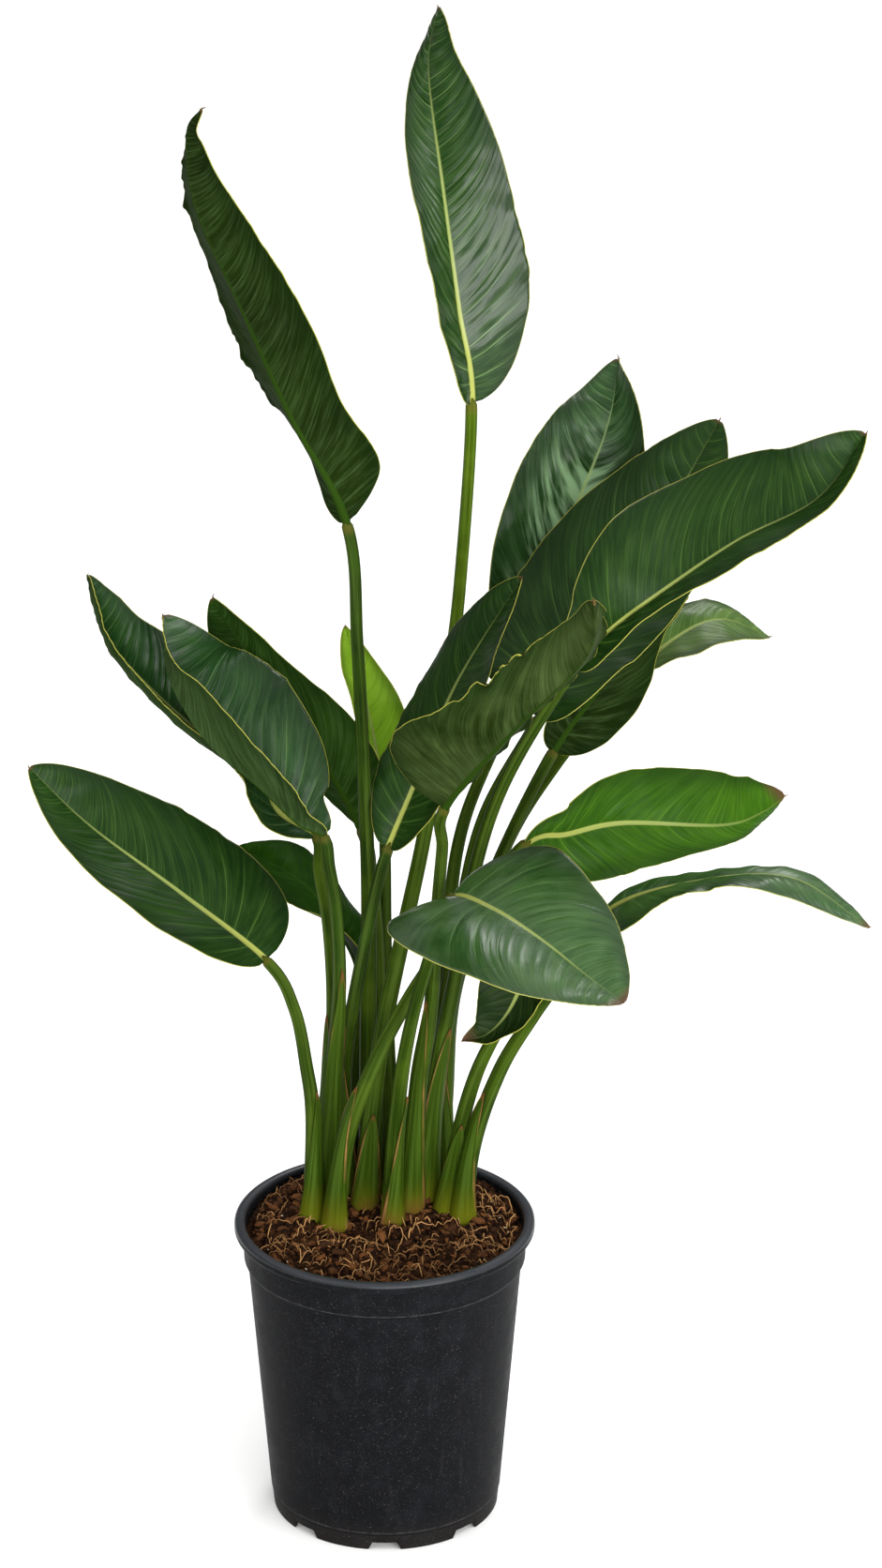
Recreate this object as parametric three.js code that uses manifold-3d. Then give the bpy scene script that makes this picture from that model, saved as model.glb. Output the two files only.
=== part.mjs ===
import * as THREE from 'three';
import { mergeVertices } from 'three/addons/utils/BufferGeometryUtils.js';
import Module from 'manifold-3d';

// A potted bird of paradise. Millimetres, +Z is up and -Y is the front.
// The origin is the middle of the pot's foot.

// Pot
const RIM_RADIUS = 120;
const POT_HEIGHT = 252;
const FOOT_RADIUS = 91;
const COLLAR_RADIUS = 112.5;
const COLLAR_BOTTOM = 217;
const WALL = 2.5;
const LIP_WIDTH = 9;
const LIP_HEIGHT = 9;
const FLOOR_UNDERSIDE = 9;
const FLOOR_TOP = 12;
const BOSS_RADIUS = 14;
const SEAM_HEIGHT = 15;
const NOTCHES = 8;
const NOTCH_HEIGHT = 7;
const NOTCH_WIDTH = 26;
const NOTCH_TOP_WIDTH = 20;
const SIDES = 48;

// Soil
const SOIL_TOP = 234;
const SOIL_RINGS = 4;
const SOIL_RELIEF = 2;
const SOIL_BANK = 13;
const GAP = 0.3;

// Stalks and blades
const STALK_FOOT_RADIUS = 8.4;
const STALK_TOP_RADIUS = 4.6;
const STALK_TAPER = 1.6;
const STALK_SIDES = 8;
const STALK_STEP = 45;
const BLADE_THICKNESS = 1;
const KEEL_DEPTH = 4;
const KEEL_TIP_DEPTH = 0.6;
const KEEL_HALF_WIDTH = 3.6;
const KEEL_TIP_HALF_WIDTH = 0.8;
const FOOT_END = 0.45;
const TIP_END = 0.7;
const CUT_SHARE = 0.004;
const PLAIN_STEPS = 8;
const STEPS_PER_WAVE = 2;

// Each leaf. stalk: way points from the soil to below the blade. keel: way points of the blade's midrib.
// face: where the upper face looks at the blade's foot, middle and tip, before it is squared to the midrib.
// left, right: half widths at even steps along the blade, before its ends close.
// foldLeft, foldRight: degrees that each half is raised at the midrib, at the foot, the middle and the tip.
// curl: degrees that the left and the right half bend on their way to the margin.
// waves: height, number and phase of the waves along the margins.
const LEAVES = {
  tall_centre: {
    stalk: [[-19, 46, 205], [-10, 28, 335], [2, 20, 421], [17, 28, 494], [34, 50, 573],
      [51, 84, 682], [60, 88, 760]],
    keel: [[68, 24, 925], [58, 20, 1001], [46, 38, 1093], [36, 60, 1176], [43, 78, 1219]],
    face: [[0, -1, -0.2], [0.15, -0.95, 0.25], [-0.4, -0.8, 0.4]],
    left: [26, 30], right: [48, 59, 53, 55, 56],
    foldLeft: [65, 35, -50], foldRight: [-15, 15, 40], curl: [-10, -15], waves: [0.8, 6, 0],
  },
  tall_left: {
    stalk: [[-14, 68, 205], [-13, 50, 391], [-12, 38, 510], [-14, 33, 592], [-19, 6, 735]],
    keel: [[-26, -20, 843], [-69, -35, 937], [-102, -60, 1025], [-134, -75, 1107], [-139, -85, 1165],
      [-127, -92, 1187]],
    face: [[-0.45, 0.2, 0.85], [0.1, 0.7, 0.7], [0.45, 0.65, -0.6]],
    left: [72, 44, 50, 53, 47], right: [38, 46, 41, 46],
    foldLeft: [25, 5, 0], foldRight: [70, 45, 60], curl: [-10, -5], waves: [0.5, 5, 0],
  },
  left_high_a: {
    stalk: [[-50, 70, 205], [-46, 64, 302], [-41, 58, 404], [-44, 52, 480], [-51, 48, 530]],
    keel: [[-53, 45, 561], [-83, 62, 575], [-101, 78, 605], [-155, 98, 637], [-208, 115, 687],
      [-227, 131, 720], [-235, 150, 742]],
    face: [[0.5, -0.7, 0.5], [-0.2, -0.7, 0.7], [0.7, -0.6, 0.3]],
    left: [48, 41, 52], right: [47, 52, 50],
    foldLeft: [20, 40, 25], foldRight: [20, 20, 50], curl: [[15, 75, 70], 0], waves: [0.3, 4, 0.5],
  },
  left_high_b: {
    stalk: [[-47, 49, 205], [-41, 34, 357], [-35, 20, 445], [-37, 14, 512], [-42, 10, 550]],
    keel: [[-46, 8, 576], [-66, 14, 585], [-96, 28, 609], [-134, 42, 638], [-157, 55, 668],
      [-169, 62, 697], [-171, 68, 739]],
    face: [[0.2, -0.75, 0.65], [0.35, -0.75, 0.5], [-0.1, -0.3, 0.95]],
    left: [40, 36, 43, 45, 49], right: [46, 73, 96, 106],
    foldLeft: [95, 100, 90], foldRight: [0, 5, -25], curl: [[5, 15, 10], 0], waves: [0.4, 4, 0.5],
  },
  left_back: {
    stalk: [[-12, 86, 205], [-5, 66, 425], [-10, 68, 520]],
    keel: [[-18, 66, 558], [-59, 96, 622], [-103, 116, 678], [-136, 136, 728]],
    face: [[0.75, 0.65, 0.1], [0.3, 0.85, -0.25], [0.8, 0.35, 0.5]],
    left: [50, 40, 28, 41], right: [45, 43, 49],
    foldLeft: [50, 30, 20], foldRight: [40, 40, -45], curl: [-5, -25], waves: [0.7, 6, 1],
  },
  left_low: {
    stalk: [[-60, 30, 205], [-57, 22, 322], [-62, 16, 378], [-71, 12, 429]],
    keel: [[-92, 10, 470], [-161, 50, 511], [-233, 80, 556], [-281, 90, 602]],
    face: [[0.3, -0.65, 0.7], [0.25, -0.65, 0.7], [0.15, -0.7, 0.7]],
    left: [52, 43], right: [81, 62, 58, 64],
    foldLeft: [25, 25, 15], foldRight: [0, 20, 20], curl: [-10, -15], waves: [0.8, 4, 0.5],
  },
  left_dark: {
    stalk: [[-30, 84, 205], [-23, 80, 344]],
    keel: [[-20, 75, 429], [-53, 120, 475], [-92, 150, 495], [-122, 170, 499]],
    face: [[0.35, -0.1, 0.95], [0.4, -0.5, 0.8], [0.05, -0.35, 0.95]],
    left: [48, 41, 48], right: [43, 41, 43, 55, 45],
    foldLeft: [65, 15, 40], foldRight: [30, 0, 30], curl: [5, -45], waves: [0.8, 4, 0.5],
  },
  young: {
    stalk: [[6, 86, 205], [1, 86, 416]],
    keel: [[0, 102, 547], [-7, 133, 598], [-18, 134, 655], [-31, 140, 703]],
    face: [[0.3, -0.95, 0.1], [0.4, -0.9, 0.1], [0.15, -1, 0.05]],
    left: [28, 31], right: [34, 30],
    foldLeft: [45, 50, 30], foldRight: [45, 30, 50], curl: [5, 5], waves: [0.8, 4, 0.5],
  },
  centre_back: {
    stalk: [[-32, 62, 205], [-33, 52, 349], [-25, 33, 419], [-14, 17, 487], [-5, 12, 533]],
    keel: [[4, 10, 566], [25, 22, 615], [57, 38, 692], [108, 42, 779]],
    face: [[-0.3, -0.9, 0.3], [-0.35, -0.9, 0.25], [-0.45, -0.8, 0.35]],
    left: [34, 44, 46], right: [42, 56],
    foldLeft: [45, -10, 20], foldRight: [35, 40, 45], curl: [-50, 10], waves: [0.8, 4, 0.5],
  },
  centre_front: {
    stalk: [[18, 43, 205], [27, 26, 345], [37, 8, 430], [42, -14, 524], [46, -36, 585]],
    keel: [[48, -50, 624], [96, -90, 700], [153, -130, 778], [158, -150, 829]],
    face: [[-0.4, 0.75, 0.5], [-0.6, 0.8, 0.1], [-0.4, 0.9, 0.2]],
    left: [53, 55], right: [94, 75, 51, 48, 63],
    foldLeft: [30, 30, 50], foldRight: [40, 20, 85], curl: [0, 10], waves: [1.8, 8, 0],
  },
  right_high_a: {
    stalk: [[24, 84, 205], [38, 124, 358], [50, 152, 441], [65, 176, 525]],
    keel: [[113, 200, 638], [144, 240, 740], [179, 270, 825], [189, 310, 870]],
    face: [[-0.25, -0.9, 0.35], [0.1, -0.85, 0.5], [-0.55, -0.8, 0.2]],
    left: [57, 66], right: [50, 55],
    foldLeft: [40, 25, 15], foldRight: [40, 0, 55], curl: [-5, 0], waves: [0.8, 4, 0.5],
  },
  right_high_b: {
    stalk: [[12, 68, 205], [43, 66, 375], [59, 66, 478], [79, 66, 570]],
    keel: [[121, 62, 654], [151, 105, 698], [185, 150, 736], [225, 200, 777], [268, 245, 839]],
    face: [[-0.25, -0.6, 0.75], [-0.25, -0.9, 0.4], [-0.1, -0.9, 0.4]],
    left: [97, 77, 71, 64], right: [57, 60],
    foldLeft: [0, 0, 30], foldRight: [30, 20, 25], curl: [-10, -25], waves: [0.6, 6, 1],
  },
  right_high_c: {
    stalk: [[31, 58, 205], [39, 46, 339], [56, 36, 442], [71, 30, 537], [96, 26, 618]],
    keel: [[148, 32, 708], [175, 36, 737], [215, 45, 765], [274, 65, 800], [337, 85, 828], [375, 110, 873]],
    face: [[0.2, -0.9, 0.35], [-0.25, -0.85, 0.4], [0.15, -0.75, 0.65]],
    left: [66, 69, 73, 81, 77], right: [40, 18, 38, 43, 50],
    foldLeft: [60, -10, 20], foldRight: [60, 60, 70], curl: [0, -15], waves: [0.5, 6, 1],
  },
  right_pale: {
    stalk: [[42, 82, 205], [48, 100, 310], [57, 118, 402], [96, 138, 512], [136, 160, 574]],
    keel: [[184, 184, 627], [234, 216, 663], [272, 236, 672], [312, 248, 652]],
    face: [[0.1, -0.5, 0.85], [-0.35, -0.7, 0.65], [0.1, -0.4, 0.9]],
    left: [36, 32], right: [28, 45],
    foldLeft: [50, 15, 0], foldRight: [65, 20, 30], curl: [-50, 5], waves: [0.8, 4, 0.5],
  },
  right_shade: {
    stalk: [[52, 64, 205], [48, 74, 331], [57, 86, 417], [89, 98, 513]],
    keel: [[134, 113, 606], [171, 132, 653], [202, 146, 696], [241, 146, 725]],
    face: [[-0.35, 0.85, 0.35], [-0.35, 0.9, 0.3], [-0.4, 0.85, 0.4]],
    left: [44, 46], right: [43, 46],
    foldLeft: [5, 15, 40], foldRight: [10, 20, 30], curl: [-30, -45], waves: [0.7, 6, 1],
  },
  right_bright: {
    stalk: [[-42, 16, 205], [-31, 8, 312], [-6, -12, 395], [20, 2, 442], [42, 16, 472], [67, 12, 509]],
    keel: [[111, 22, 565], [144, 35, 568], [188, 52, 570], [267, 72, 560], [300, 92, 563], [319, 110, 570]],
    face: [[0.5, -0.85, 0], [0.1, -0.85, 0.5], [0.3, -0.9, 0.1]],
    left: [45, 40, 53, 59], right: [52, 42, 27, 34],
    foldLeft: [40, 10, -10], foldRight: [30, 5, -20], curl: [-10, -30], waves: [0.3, 4, 0.5],
  },
  right_thin: {
    stalk: [[61, 29, 205], [69, 24, 296], [91, 18, 370], [118, 16, 420], [144, 2, 466]],
    keel: [[172, -20, 523], [226, -30, 551], [311, -50, 567], [374, -80, 537]],
    face: [[0.3, -0.4, 0.85], [-0.15, 0.15, 0.95], [0.05, -0.3, 0.95]],
    left: [34, 35], right: [70, 46, 36, 13],
    foldLeft: [15, 25, 10], foldRight: [30, 20, -10], curl: [-70, -35], waves: [0.8, 4, 0.5],
  },
  front_wide: {
    stalk: [[2, 24, 205], [10, 0, 340], [21, -24, 429], [40, -36, 508]],
    keel: [[53, -50, 550], [85, -90, 557], [122, -127, 547], [155, -154, 530], [183, -178, 518]],
    face: [[-0.05, -0.2, 1.2], [0.2, -0.35, 0.9], [0.35, -0.6, 0.8]],
    left: [79, 74, 64, 64, 62], right: [110, 97, 85, 79, 81],
    foldLeft: [26, 34, 20], foldRight: [16, 12, 22], curl: [-16, -18], waves: [0.5, 4, 0.5],
  },
  front_small: {
    stalk: [[45, 39, 205], [58, 32, 301], [73, 22, 367], [95, 18, 418], [110, 14, 456]],
    keel: [[119, 2, 490], [115, -14, 484], [108, -22, 464], [96, -26, 440], [80, -29, 424], [61, -32, 420]],
    face: [[-0.1, -0.9, 0.3], [0, -1, 0.2], [0.1, -0.9, 0.4]],
    left: [30, 26, 22], right: [32, 32, 24],
    foldLeft: [20, 30, 60], foldRight: [20, 10, 10], curl: [40, -10], waves: [1, 4, 0],
  },
};

const wasm = await Module();
wasm.setup();

const part = new THREE.Group();

function material(color, roughness) {
  return new THREE.MeshStandardMaterial({ color, roughness, metalness: 0 });
}

const POT_PLASTIC = material(0x24262a, 0.5);
const SOIL_BROWN = material(0x4a2f1d, 0.95);
const STALK_GREEN = material(0x55792f, 0.5);
const BLADE_GREENS = { dark: 0x2e5230, grey: 0x56683f, bright: 0x5f9428 };
const BRIGHT_LEAVES = ['young', 'right_bright'];
const GREY_LEAVES = ['tall_left', 'centre_front', 'right_shade', 'left_back', 'front_wide', 'right_pale',
  'right_thin'];

function add(name, geometry, look) {
  const mesh = new THREE.Mesh(geometry, look.clone());
  mesh.name = name;
  part.add(mesh);
}

// Booleans on closed meshes
function toManifold(geometry) {
  const bare = geometry.clone();
  bare.deleteAttribute('normal');
  bare.deleteAttribute('uv');
  const merged = mergeVertices(bare, 1e-4);
  return new wasm.Manifold(new wasm.Mesh({
    numProp: 3,
    vertProperties: Float32Array.from(merged.attributes.position.array),
    triVerts: Uint32Array.from(merged.index.array),
  }));
}

function toGeometry(manifold) {
  const mesh = manifold.getMesh();
  const geometry = new THREE.BufferGeometry();
  geometry.setAttribute('position', new THREE.BufferAttribute(Float32Array.from(mesh.vertProperties), 3));
  geometry.setIndex(Array.from(mesh.triVerts));
  return geometry.toNonIndexed();
}

// A closed skin over rings of points, each ring in the same order, with a fan over each end
function skin(rings) {
  const count = rings[0].length;
  const positions = rings.flat().flatMap((point) => point.toArray());
  const index = [];
  for (let i = 0; i < rings.length - 1; i++) {
    for (let j = 0; j < count; j++) {
      const next = (j + 1) % count;
      const [a, b] = [i * count + j, i * count + next];
      const [c, d] = [a + count, b + count];
      index.push(a, b, d, a, d, c);
    }
  }
  const last = (rings.length - 1) * count;
  for (const [a, b, c] of endTriangles(count)) {
    index.push(a, c, b, last + a, last + b, last + c);
  }
  const geometry = new THREE.BufferGeometry();
  geometry.setAttribute('position', new THREE.Float32BufferAttribute(positions, 3));
  geometry.setIndex(index);
  return geometry;
}

// An end is cut into slices between the two faces that the ring's first and second half run along
function endTriangles(count) {
  const triangles = [];
  for (let low = 0, high = count - 1; high - low > 1;) {
    triangles.push([low, low + 1, high]);
    low += 1;
    if (high - low > 1) {
      triangles.push([low, high - 1, high]);
      high -= 1;
    }
  }
  return triangles;
}

// A value at share t along a list of numbers or of vectors at even steps
function along(list, t) {
  if (typeof list === 'number') return list;
  if (list.length === 1) return list[0];
  const points = list.map((item) => new THREE.Vector3(...[item].flat()));
  const point = new THREE.CatmullRomCurve3(points, false, 'catmullrom', 0.5).getPoint(t);
  return Array.isArray(list[0]) ? point : point.x;
}

function spineOf(leaf) {
  const points = [...leaf.stalk, ...leaf.keel].map((point) => new THREE.Vector3(...point));
  const curve = new THREE.CatmullRomCurve3(points, false, 'catmullrom', 0.5);
  curve.arcLengthDivisions = 800;
  const lengths = curve.getLengths();
  const foot = lengths[Math.round((800 * leaf.stalk.length) / (points.length - 1))];
  return { curve, length: curve.getLength(), foot };
}

// Where the midrib is, the way it runs, the way the upper face looks and the way to its right
function bladeFrame(leaf, spine, t) {
  const share = (spine.foot + t * (spine.length - spine.foot)) / spine.length;
  const middle = spine.curve.getPointAt(share);
  const onward = spine.curve.getTangentAt(share);
  const up = along(leaf.face, t);
  up.addScaledVector(onward, -up.dot(onward)).normalize();
  const right = new THREE.Vector3().crossVectors(onward, up);
  return { middle, onward, up, right };
}

function halfWidth(widths, t) {
  const full = FOOT_END / (FOOT_END + TIP_END);
  return along(widths, t) * (t / full) ** FOOT_END * ((1 - t) / (1 - full)) ** TIP_END;
}

// A point of one half of the blade, share a of the way from midrib to margin,
// and the way that the blade's face looks there
function bladePoint(leaf, frame, t, side, a) {
  const width = halfWidth(side < 0 ? leaf.left : leaf.right, t);
  const fold = THREE.MathUtils.degToRad(along(side < 0 ? leaf.foldLeft : leaf.foldRight, t));
  const curl = THREE.MathUtils.degToRad(along(leaf.curl[side < 0 ? 0 : 1], t)) || 1e-4;
  const turn = fold + curl * a;
  const across = (width * (Math.sin(turn) - Math.sin(fold))) / curl;
  const rise = (width * (Math.cos(fold) - Math.cos(turn))) / curl;
  const face = frame.up.clone().multiplyScalar(Math.cos(turn));
  face.addScaledVector(frame.right, -side * Math.sin(turn));
  const [height, number, phase] = leaf.waves;
  const wave = Math.sin(2 * Math.PI * number * t + phase + (side < 0 ? 2.1 : 0));
  const point = frame.middle.clone();
  point.addScaledVector(frame.right, side * across).addScaledVector(frame.up, rise);
  point.addScaledVector(face, height * a * a * wave * Math.sqrt(Math.sin(Math.PI * t)));
  return { point, face };
}

// The blade's cross-section: the upper face from the left margin to the right one, then the lower face back
function bladeRing(leaf, spine, t) {
  const frame = bladeFrame(leaf, spine, t);
  const keelWidth = THREE.MathUtils.lerp(KEEL_HALF_WIDTH, KEEL_TIP_HALF_WIDTH, t);
  const keelDepth = THREE.MathUtils.lerp(KEEL_DEPTH, KEEL_TIP_DEPTH, t ** 0.6);
  const upper = [];
  const lower = [];
  for (const side of [-1, 1]) {
    const width = halfWidth(side < 0 ? leaf.left : leaf.right, t);
    const shares = [Math.min(keelWidth / width, 0.4), 0.55, 1];
    for (const a of side < 0 ? shares.reverse() : shares) {
      const { point, face } = bladePoint(leaf, frame, t, side, a);
      upper.push(point.clone().addScaledVector(face, BLADE_THICKNESS / 2));
      lower.unshift(point.clone().addScaledVector(face, -BLADE_THICKNESS / 2));
    }
    if (side < 0) {
      upper.push(frame.middle.clone().addScaledVector(frame.up, BLADE_THICKNESS / 2));
      lower.unshift(frame.middle.clone().addScaledVector(frame.up, -keelDepth));
    }
  }
  return [...upper, ...lower];
}

function bladeGeometry(leaf) {
  const spine = spineOf(leaf);
  const count = PLAIN_STEPS + STEPS_PER_WAVE * leaf.waves[1];
  const rings = [];
  for (let i = 0; i <= count; i++) {
    const even = i / count;
    const share = THREE.MathUtils.lerp(even, 0.5 - 0.5 * Math.cos(Math.PI * even), 0.6);
    rings.push(bladeRing(leaf, spine, THREE.MathUtils.lerp(CUT_SHARE, 1 - CUT_SHARE, share)));
  }
  return skin(rings);
}

// A stalk's cross-section is round with a shallow channel on the side that the blade's upper face looks to
function stalkGeometry(leaf, growth = 0) {
  const spine = spineOf(leaf);
  const front = bladeFrame(leaf, spine, 0).up;
  const end = spine.foot - GAP + CUT_SHARE * (spine.length - spine.foot) + growth;
  const steps = Math.ceil(end / STALK_STEP);
  const rings = [];
  for (let i = 0; i <= steps; i++) {
    const swell = (1 - i / steps) ** STALK_TAPER;
    const radius = growth + THREE.MathUtils.lerp(STALK_TOP_RADIUS, STALK_FOOT_RADIUS, swell);
    const share = (end * i) / (steps * spine.length);
    const middle = spine.curve.getPointAt(share);
    const onward = spine.curve.getTangentAt(share);
    if (i === 0) middle.addScaledVector(onward, -growth);
    const u = front.clone().addScaledVector(onward, -front.dot(onward)).normalize();
    const v = new THREE.Vector3().crossVectors(onward, u);
    const ring = [];
    for (let j = 0; j < STALK_SIDES; j++) {
      const angle = (2 * Math.PI * j) / STALK_SIDES;
      const reach = radius * (j === 0 ? 0.8 : 1);
      ring.push(middle.clone().addScaledVector(u, reach * Math.cos(angle))
        .addScaledVector(v, reach * Math.sin(angle)));
    }
    rings.push(ring);
  }
  return skin(rings);
}

function lathe(profile) {
  const geometry = new THREE.LatheGeometry(profile.map(([r, z]) => new THREE.Vector2(r, z)), SIDES);
  return geometry.rotateX(Math.PI / 2);
}

// The pot's inside from the floor up, as [radius, height]
function innerWall() {
  return [
    [FOOT_RADIUS - WALL + 1, FLOOR_TOP],
    [COLLAR_RADIUS - WALL - 3, COLLAR_BOTTOM - 5],
    [COLLAR_RADIUS - WALL, COLLAR_BOTTOM],
    [RIM_RADIUS - LIP_WIDTH, POT_HEIGHT - 3],
  ];
}

function potProfile() {
  const lipBottom = POT_HEIGHT - LIP_HEIGHT;
  const footInside = FOOT_RADIUS - WALL;
  return [
    [0, 0], [BOSS_RADIUS, 0], [BOSS_RADIUS + 3, FLOOR_UNDERSIDE],
    [footInside, FLOOR_UNDERSIDE], [footInside, 0], [FOOT_RADIUS, 0],
    [FOOT_RADIUS + 1.2, SEAM_HEIGHT - 0.5], [FOOT_RADIUS + 1.9, SEAM_HEIGHT + 0.5],
    [COLLAR_RADIUS - 3, COLLAR_BOTTOM - 1], [COLLAR_RADIUS, COLLAR_BOTTOM + 2],
    [COLLAR_RADIUS + 1, lipBottom - 1], [RIM_RADIUS - 1, lipBottom],
    [RIM_RADIUS, lipBottom + 1.5], [RIM_RADIUS, POT_HEIGHT - 2.5],
    [RIM_RADIUS - 1.8, POT_HEIGHT - 0.5], [RIM_RADIUS - 4.5, POT_HEIGHT],
    [RIM_RADIUS - LIP_WIDTH + 1.5, POT_HEIGHT - 0.8],
    ...innerWall().reverse(), [0, FLOOR_TOP],
  ];
}

// A notch is cut through the foot of the wall, wider at the bottom
function notchGeometry(turn) {
  const outline = new THREE.Shape();
  outline.moveTo(-NOTCH_WIDTH / 2 - 1, -2);
  outline.lineTo(NOTCH_WIDTH / 2 + 1, -2);
  outline.lineTo(NOTCH_TOP_WIDTH / 2, NOTCH_HEIGHT);
  outline.lineTo(-NOTCH_TOP_WIDTH / 2, NOTCH_HEIGHT);
  const cutter = new THREE.ExtrudeGeometry(outline, { depth: 20, bevelEnabled: false });
  cutter.rotateX(Math.PI / 2).translate(0, -FOOT_RADIUS + 8, 0);
  return cutter.rotateZ(turn);
}

function potGeometry() {
  let pot = toManifold(lathe(potProfile()));
  for (let i = 0; i < NOTCHES; i++) {
    pot = pot.subtract(toManifold(notchGeometry((2 * Math.PI * i) / NOTCHES)));
  }
  return toGeometry(pot);
}

// The soil's height: it is banked up towards the back and uneven away from its edge
function soilLevel(x, y, edge, uneven) {
  const bank = SOIL_BANK * THREE.MathUtils.smoothstep(y, -0.6 * edge, edge);
  const relief = Math.sin(x / 17 + 0.6) * Math.cos(y / 14) + 0.5 * Math.sin((x + y) / 9);
  return SOIL_TOP + bank + (uneven ? SOIL_RELIEF * relief : 0);
}

// The soil fills the pot's inside up to its uneven top, with a plain hole around each stalk
function soilGeometry() {
  const [floor, neck, collar, rim] = innerWall();
  const share = (SOIL_TOP - collar[1]) / (rim[1] - collar[1]);
  const edge = THREE.MathUtils.lerp(collar[0], rim[0], share) - GAP;
  const rings = [];
  for (let ring = 1; ring <= SOIL_RINGS; ring++) rings.push([(edge * ring) / SOIL_RINGS, null]);
  for (const [radius, z] of [collar, neck]) rings.push([radius - GAP, z]);
  rings.push([floor[0] - GAP, floor[1] + GAP]);
  const positions = [0, 0, soilLevel(0, 0, edge, true), 0, 0, floor[1] + GAP];
  rings.forEach(([radius, height], ring) => {
    for (let i = 0; i < SIDES; i++) {
      const angle = (2 * Math.PI * i) / SIDES;
      const [x, y] = [radius * Math.sin(angle), radius * Math.cos(angle)];
      positions.push(x, y, height ?? soilLevel(x, y, edge, ring < SOIL_RINGS - 1));
    }
  });
  const index = [];
  const at = (ring, i) => 2 + ring * SIDES + (i % SIDES);
  const last = rings.length - 1;
  for (let i = 0; i < SIDES; i++) {
    index.push(0, at(0, i + 1), at(0, i), 1, at(last, i), at(last, i + 1));
    for (let ring = 0; ring < last; ring++) {
      index.push(at(ring, i), at(ring, i + 1), at(ring + 1, i + 1));
      index.push(at(ring, i), at(ring + 1, i + 1), at(ring + 1, i));
    }
  }
  const geometry = new THREE.BufferGeometry();
  geometry.setAttribute('position', new THREE.Float32BufferAttribute(positions, 3));
  geometry.setIndex(index);
  let soil = toManifold(geometry);
  for (const leaf of Object.values(LEAVES)) {
    soil = soil.subtract(toManifold(stalkGeometry(leaf, GAP)));
  }
  return toGeometry(soil);
}

add('pot', potGeometry(), POT_PLASTIC);
add('soil', soilGeometry(), SOIL_BROWN);
for (const [name, leaf] of Object.entries(LEAVES)) {
  const tone = BRIGHT_LEAVES.includes(name) ? 'bright' : GREY_LEAVES.includes(name) ? 'grey' : 'dark';
  add(`stalk_${name}`, stalkGeometry(leaf), STALK_GREEN);
  add(`blade_${name}`, bladeGeometry(leaf), material(BLADE_GREENS[tone], 0.4));
}

export default part;
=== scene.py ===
import math

import bpy
import numpy as np
from mathutils import Matrix, Vector


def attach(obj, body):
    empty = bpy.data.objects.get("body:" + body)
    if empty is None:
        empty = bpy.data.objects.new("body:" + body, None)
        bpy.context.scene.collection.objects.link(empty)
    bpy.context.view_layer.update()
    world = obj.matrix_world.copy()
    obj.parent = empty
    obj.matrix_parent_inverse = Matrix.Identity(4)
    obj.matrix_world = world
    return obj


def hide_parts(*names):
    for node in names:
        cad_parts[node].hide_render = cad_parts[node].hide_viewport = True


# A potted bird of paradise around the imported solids. Sizes and way points are in millimetres and turn into
# metres in make_mesh.
MM = 0.001
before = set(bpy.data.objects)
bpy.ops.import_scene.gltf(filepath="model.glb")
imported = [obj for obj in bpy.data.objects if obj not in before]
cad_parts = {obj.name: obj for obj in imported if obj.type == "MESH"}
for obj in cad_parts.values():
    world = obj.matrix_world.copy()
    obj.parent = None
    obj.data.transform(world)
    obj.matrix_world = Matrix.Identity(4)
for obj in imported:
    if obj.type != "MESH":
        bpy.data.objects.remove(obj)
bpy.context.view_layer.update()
random = np.random.default_rng(11)

# Camera, measured on the photograph: the image and the lens in pixels, the sensor in mm, the rest in metres
# and degrees
IMAGE_HEIGHT = 1672
FOCAL_PIXELS = 6000
SENSOR = 36
CAMERA_AIM = (0.045, 0, 0.624)
CAMERA_DISTANCE = 4.35
CAMERA_ELEVATION = 22
CAMERA_REACH = 60

# Studio: each soft box's place, the point it looks at, its width and height in metres and its watts,
# then the wide soft sky in degrees and the share of the white backdrop that lights the plant
LAMPS = {
    "front": ((1.05, -2.8, 0.95), (0, 0, 0.95), 3.5, 1.0, 115),
    "key": ((1.4, -1.2, 2.6), (0, 0, 0.6), 0.8, 0.8, 14),
    "back": ((0.5, 1.8, 2.9), (0, 0, 0.6), 0.8, 0.8, 24),
    "fill": ((-2.4, -1.6, 2.0), (0, 0, 0.6), 1.0, 1.0, 8),
}
SKY_POWER = 2.6
SKY_SPREAD = 140
SKY_TILT = (15, 12)
BACKDROP_LIGHT = 0.25
FLOOR_HALF = 12000

# Pot
RIM_RADIUS = 120
POT_HEIGHT = 252
FOOT_RADIUS = 91
COLLAR_RADIUS = 112.5
COLLAR_BOTTOM = 217
WALL = 2.5
LIP_WIDTH = 9
LIP_HEIGHT = 9
LIP_SHINE_DEPTH = 4
FLOOR_UNDERSIDE = 9
FLOOR_TOP = 12
BOSS_RADIUS = 14
SEAM_HEIGHT = 15
NOTCHES = 8
NOTCH_HEIGHT = 7
NOTCH_WIDTH = 26
NOTCH_TOP_WIDTH = 20
NOTCH_REACH = 8
POT_SIDES = 192
POT_SHARP_ANGLE = 40

# Soil, and what lies on it
SOIL_TOP = 234
SOIL_RELIEF = 2
SOIL_GAP = 0.3
SOIL_BANK = 13
SOIL_RINGS = 110
SOIL_SIDES = 330
CLOD_SIZES = ((27, 2.6), (15, 2.6), (8.5, 2.4), (4.8, 1.6), (2.8, 0.8))
ROOTS = 230
ROOT_STEP = 2.4
CRUMBS = 1500
GRAINS = 50

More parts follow.
